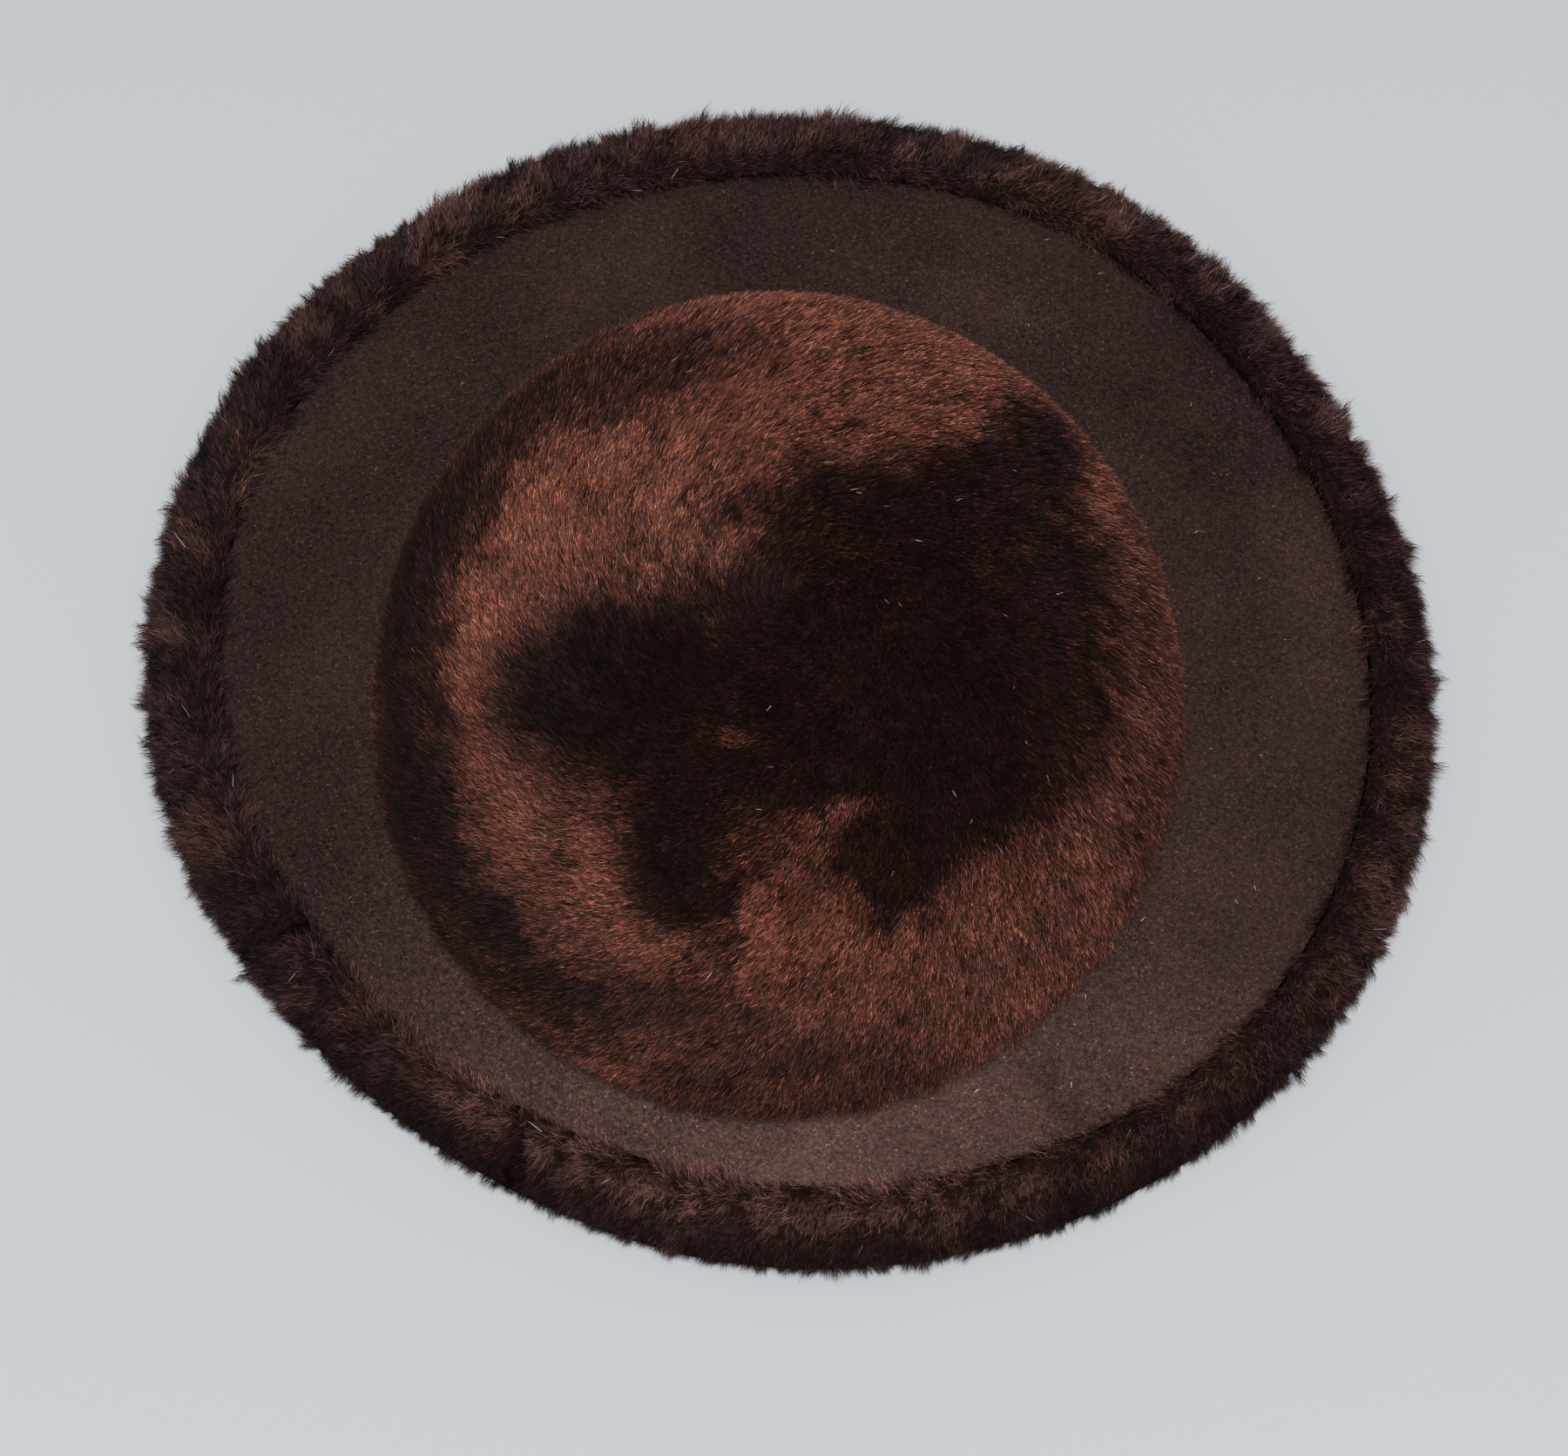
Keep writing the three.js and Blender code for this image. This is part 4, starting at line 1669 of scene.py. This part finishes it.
@dataclass
class Studio:
    """The pale floor, the soft lamp beside the lens and the camera. Metres and degrees."""

    elevation: float = 67.0
    lamp_rise: float = 5.0
    camera_distance: float = 1.4
    lamp_distance: float = 4.0
    lamp_size: float = 0.7
    lamp_power: float = 151.0
    lens: float = 118.0
    clip_start: float = 0.05
    floor_half: float = 3.0
    floor_colour: Colour = (0.545, 0.565, 0.58)
    floor_roughness: float = 0.9
    sky_colour: Colour = (1.0, 0.99, 0.98)
    sky_strength: float = 0.2
    # Millimetres right of the head's middle and up the picture.
    aim_shift: tuple[float, float] = (1.9, -2.4)

    def stand(self, name: str, data: bpy.types.ID, rise: float, distance: float) -> bpy.types.Object:
        """Stands a lamp or a camera on the camera's side, turned to the middle of the picture.

        Args:
            name: The object's name.
            data: The lamp or the camera.
            rise: Degrees above the camera's elevation.
            distance: Metres from the aim.

        Returns:
            The object.
        """
        angle = math.radians(self.elevation)
        across, ahead = self.aim_shift
        shift = Vector((across, ahead * math.sin(angle), ahead * math.cos(angle)))
        angle = math.radians(self.elevation + rise)
        way = Vector((0.0, -math.cos(angle), math.sin(angle)))
        made = put(name, data)
        made.location = (Vector(HEAD_MIDDLE) + shift) * MM + way * distance
        made.rotation_mode = "QUATERNION"
        made.rotation_quaternion = (-way).to_track_quat("-Z", "Y")
        return made

    def build(self) -> None:
        """Makes the floor, the lamp, the sky and the camera."""
        half = self.floor_half
        corners = [(-half, -half, 0.0), (half, -half, 0.0), (half, half, 0.0), (-half, half, 0.0)]
        mesh = bpy.data.meshes.new("floor")
        mesh.from_pydata(corners, [], [(0, 1, 2, 3)])
        finish = bpy.data.materials.new("pale_floor")
        finish.use_nodes = True
        shader = finish.node_tree.nodes["Principled BSDF"]
        shader.inputs["Base Color"].default_value = (*self.floor_colour, 1.0)
        shader.inputs["Roughness"].default_value = self.floor_roughness
        mesh.materials.append(finish)
        floor = put("floor", mesh)

        lamp = bpy.data.lights.new("flash", "AREA")
        lamp.energy = self.lamp_power
        lamp.size = self.lamp_size
        self.stand("flash", lamp, self.lamp_rise, self.lamp_distance)

        world = bpy.data.worlds.new("studio")
        world.use_nodes = True
        sky = world.node_tree.nodes["Background"]
        sky.inputs["Color"].default_value = (*self.sky_colour, 1.0)
        sky.inputs["Strength"].default_value = self.sky_strength
        bpy.context.scene.world = world

        camera = bpy.data.cameras.new("camera")
        camera.lens = self.lens
        camera.clip_start = self.clip_start
        bpy.context.scene.camera = self.stand("camera", camera, 0.0, self.camera_distance)
        bpy.context.scene.view_settings.view_transform = "Standard"


CROWN_FUR = FurFinish(
    name="crown_fur",
    root=(0.014, 0.0062, 0.0056),
    body=(0.140, 0.039, 0.029),
    warm=(0.245, 0.074, 0.038),
    tip=(0.50, 0.215, 0.150),
    gloom=(0.0008, 0.0018, 0.0021),
    shade_depth=0.92,
    darkest=0.062,
    brightest=2.2,
    rarity=1.8,
    patch_scale=55.0,
    glint=2.0,
    roughness=0.48,
    specular=0.09,
    gloss_tint=(1.0, 0.88, 0.88),
)
EDGE_FUR = FurFinish(
    name="edge_fur",
    root=(0.006, 0.0034, 0.0034),
    body=(0.077, 0.036, 0.031),
    warm=(0.142, 0.058, 0.043),
    tip=(0.24, 0.130, 0.120),
    gloom=(0.0008, 0.0016, 0.0024),
    shade_depth=1.0,
    darkest=0.13,
    brightest=1.68,
    rarity=1.15,
    patch_scale=90.0,
    glint=1.0,
    roughness=0.5,
    specular=0.10,
    gloss_tint=(1.0, 0.92, 0.96),
)
VELOUR = FurFinish(
    name="velour_fibre",
    root=(0.018, 0.0115, 0.0105),
    body=(0.034, 0.0195, 0.0180),
    warm=(0.062, 0.032, 0.022),
    tip=(0.125, 0.085, 0.075),
    gloom=(0.0, 0.0, 0.0),
    shade_depth=0.0,
    darkest=0.2,
    brightest=1.9,
    rarity=1.5,
    patch_scale=90.0,
    glint=0.8,
    roughness=0.8,
    specular=0.05,
)
STRAY = FurFinish(
    name="stray_hair",
    root=(0.30, 0.26, 0.24),
    body=(0.42, 0.36, 0.33),
    warm=(0.5, 0.38, 0.3),
    tip=(0.65, 0.6, 0.57),
    gloom=(0.0, 0.0, 0.0),
    shade_depth=0.0,
    darkest=0.4,
    brightest=1.6,
    rarity=1.5,
    patch_scale=90.0,
    glint=0.4,
    roughness=0.5,
    specular=0.3,
)
FELT = FeltFinish(
    name="felt",
    dark=(0.0060, 0.0038, 0.0037),
    light=(0.052, 0.0295, 0.0275),
    warm=(0.072, 0.034, 0.0205),
    fleck=(0.12, 0.083, 0.072),
    grain_scale=1900.0,
    cloud_scale=22.0,
    bump=0.7,
    roughness=0.95,
    specular=0.05,
    follows_light=True,
)
SKIN = FeltFinish(
    name="skin",
    dark=(0.007, 0.0040, 0.0034),
    light=(0.016, 0.0085, 0.0070),
    warm=(0.022, 0.010, 0.007),
    fleck=(0.03, 0.015, 0.011),
    grain_scale=900.0,
    cloud_scale=40.0,
    bump=0.4,
    roughness=0.9,
    specular=0.0,
)


def main() -> None:
    """Builds the studio and then the hat, from the brim up."""
    logging.basicConfig(level=logging.INFO, format="%(name)s: %(message)s")
    Studio().build()
    strands, grain = strand_group(), grain_group()
    kit = Kit(
        tree=PileTree(),
        nap=CROWN_FUR.material(strands),
        edge=EDGE_FUR.material(strands),
        felt=FELT.material(grain),
        velour=VELOUR.material(strands),
        skin=SKIN.material(grain),
        stray=STRAY.material(strands),
    )
    Brim().build(kit)
    EdgeFur("edge_fur_long", 3, 71).build(kit)
    EdgeFur("edge_fur_short", 1, 97).build(kit)
    Crown().build(kit)
    bpy.data.node_groups.remove(kit.tree.tree)


if __name__ == "__main__":
    main()
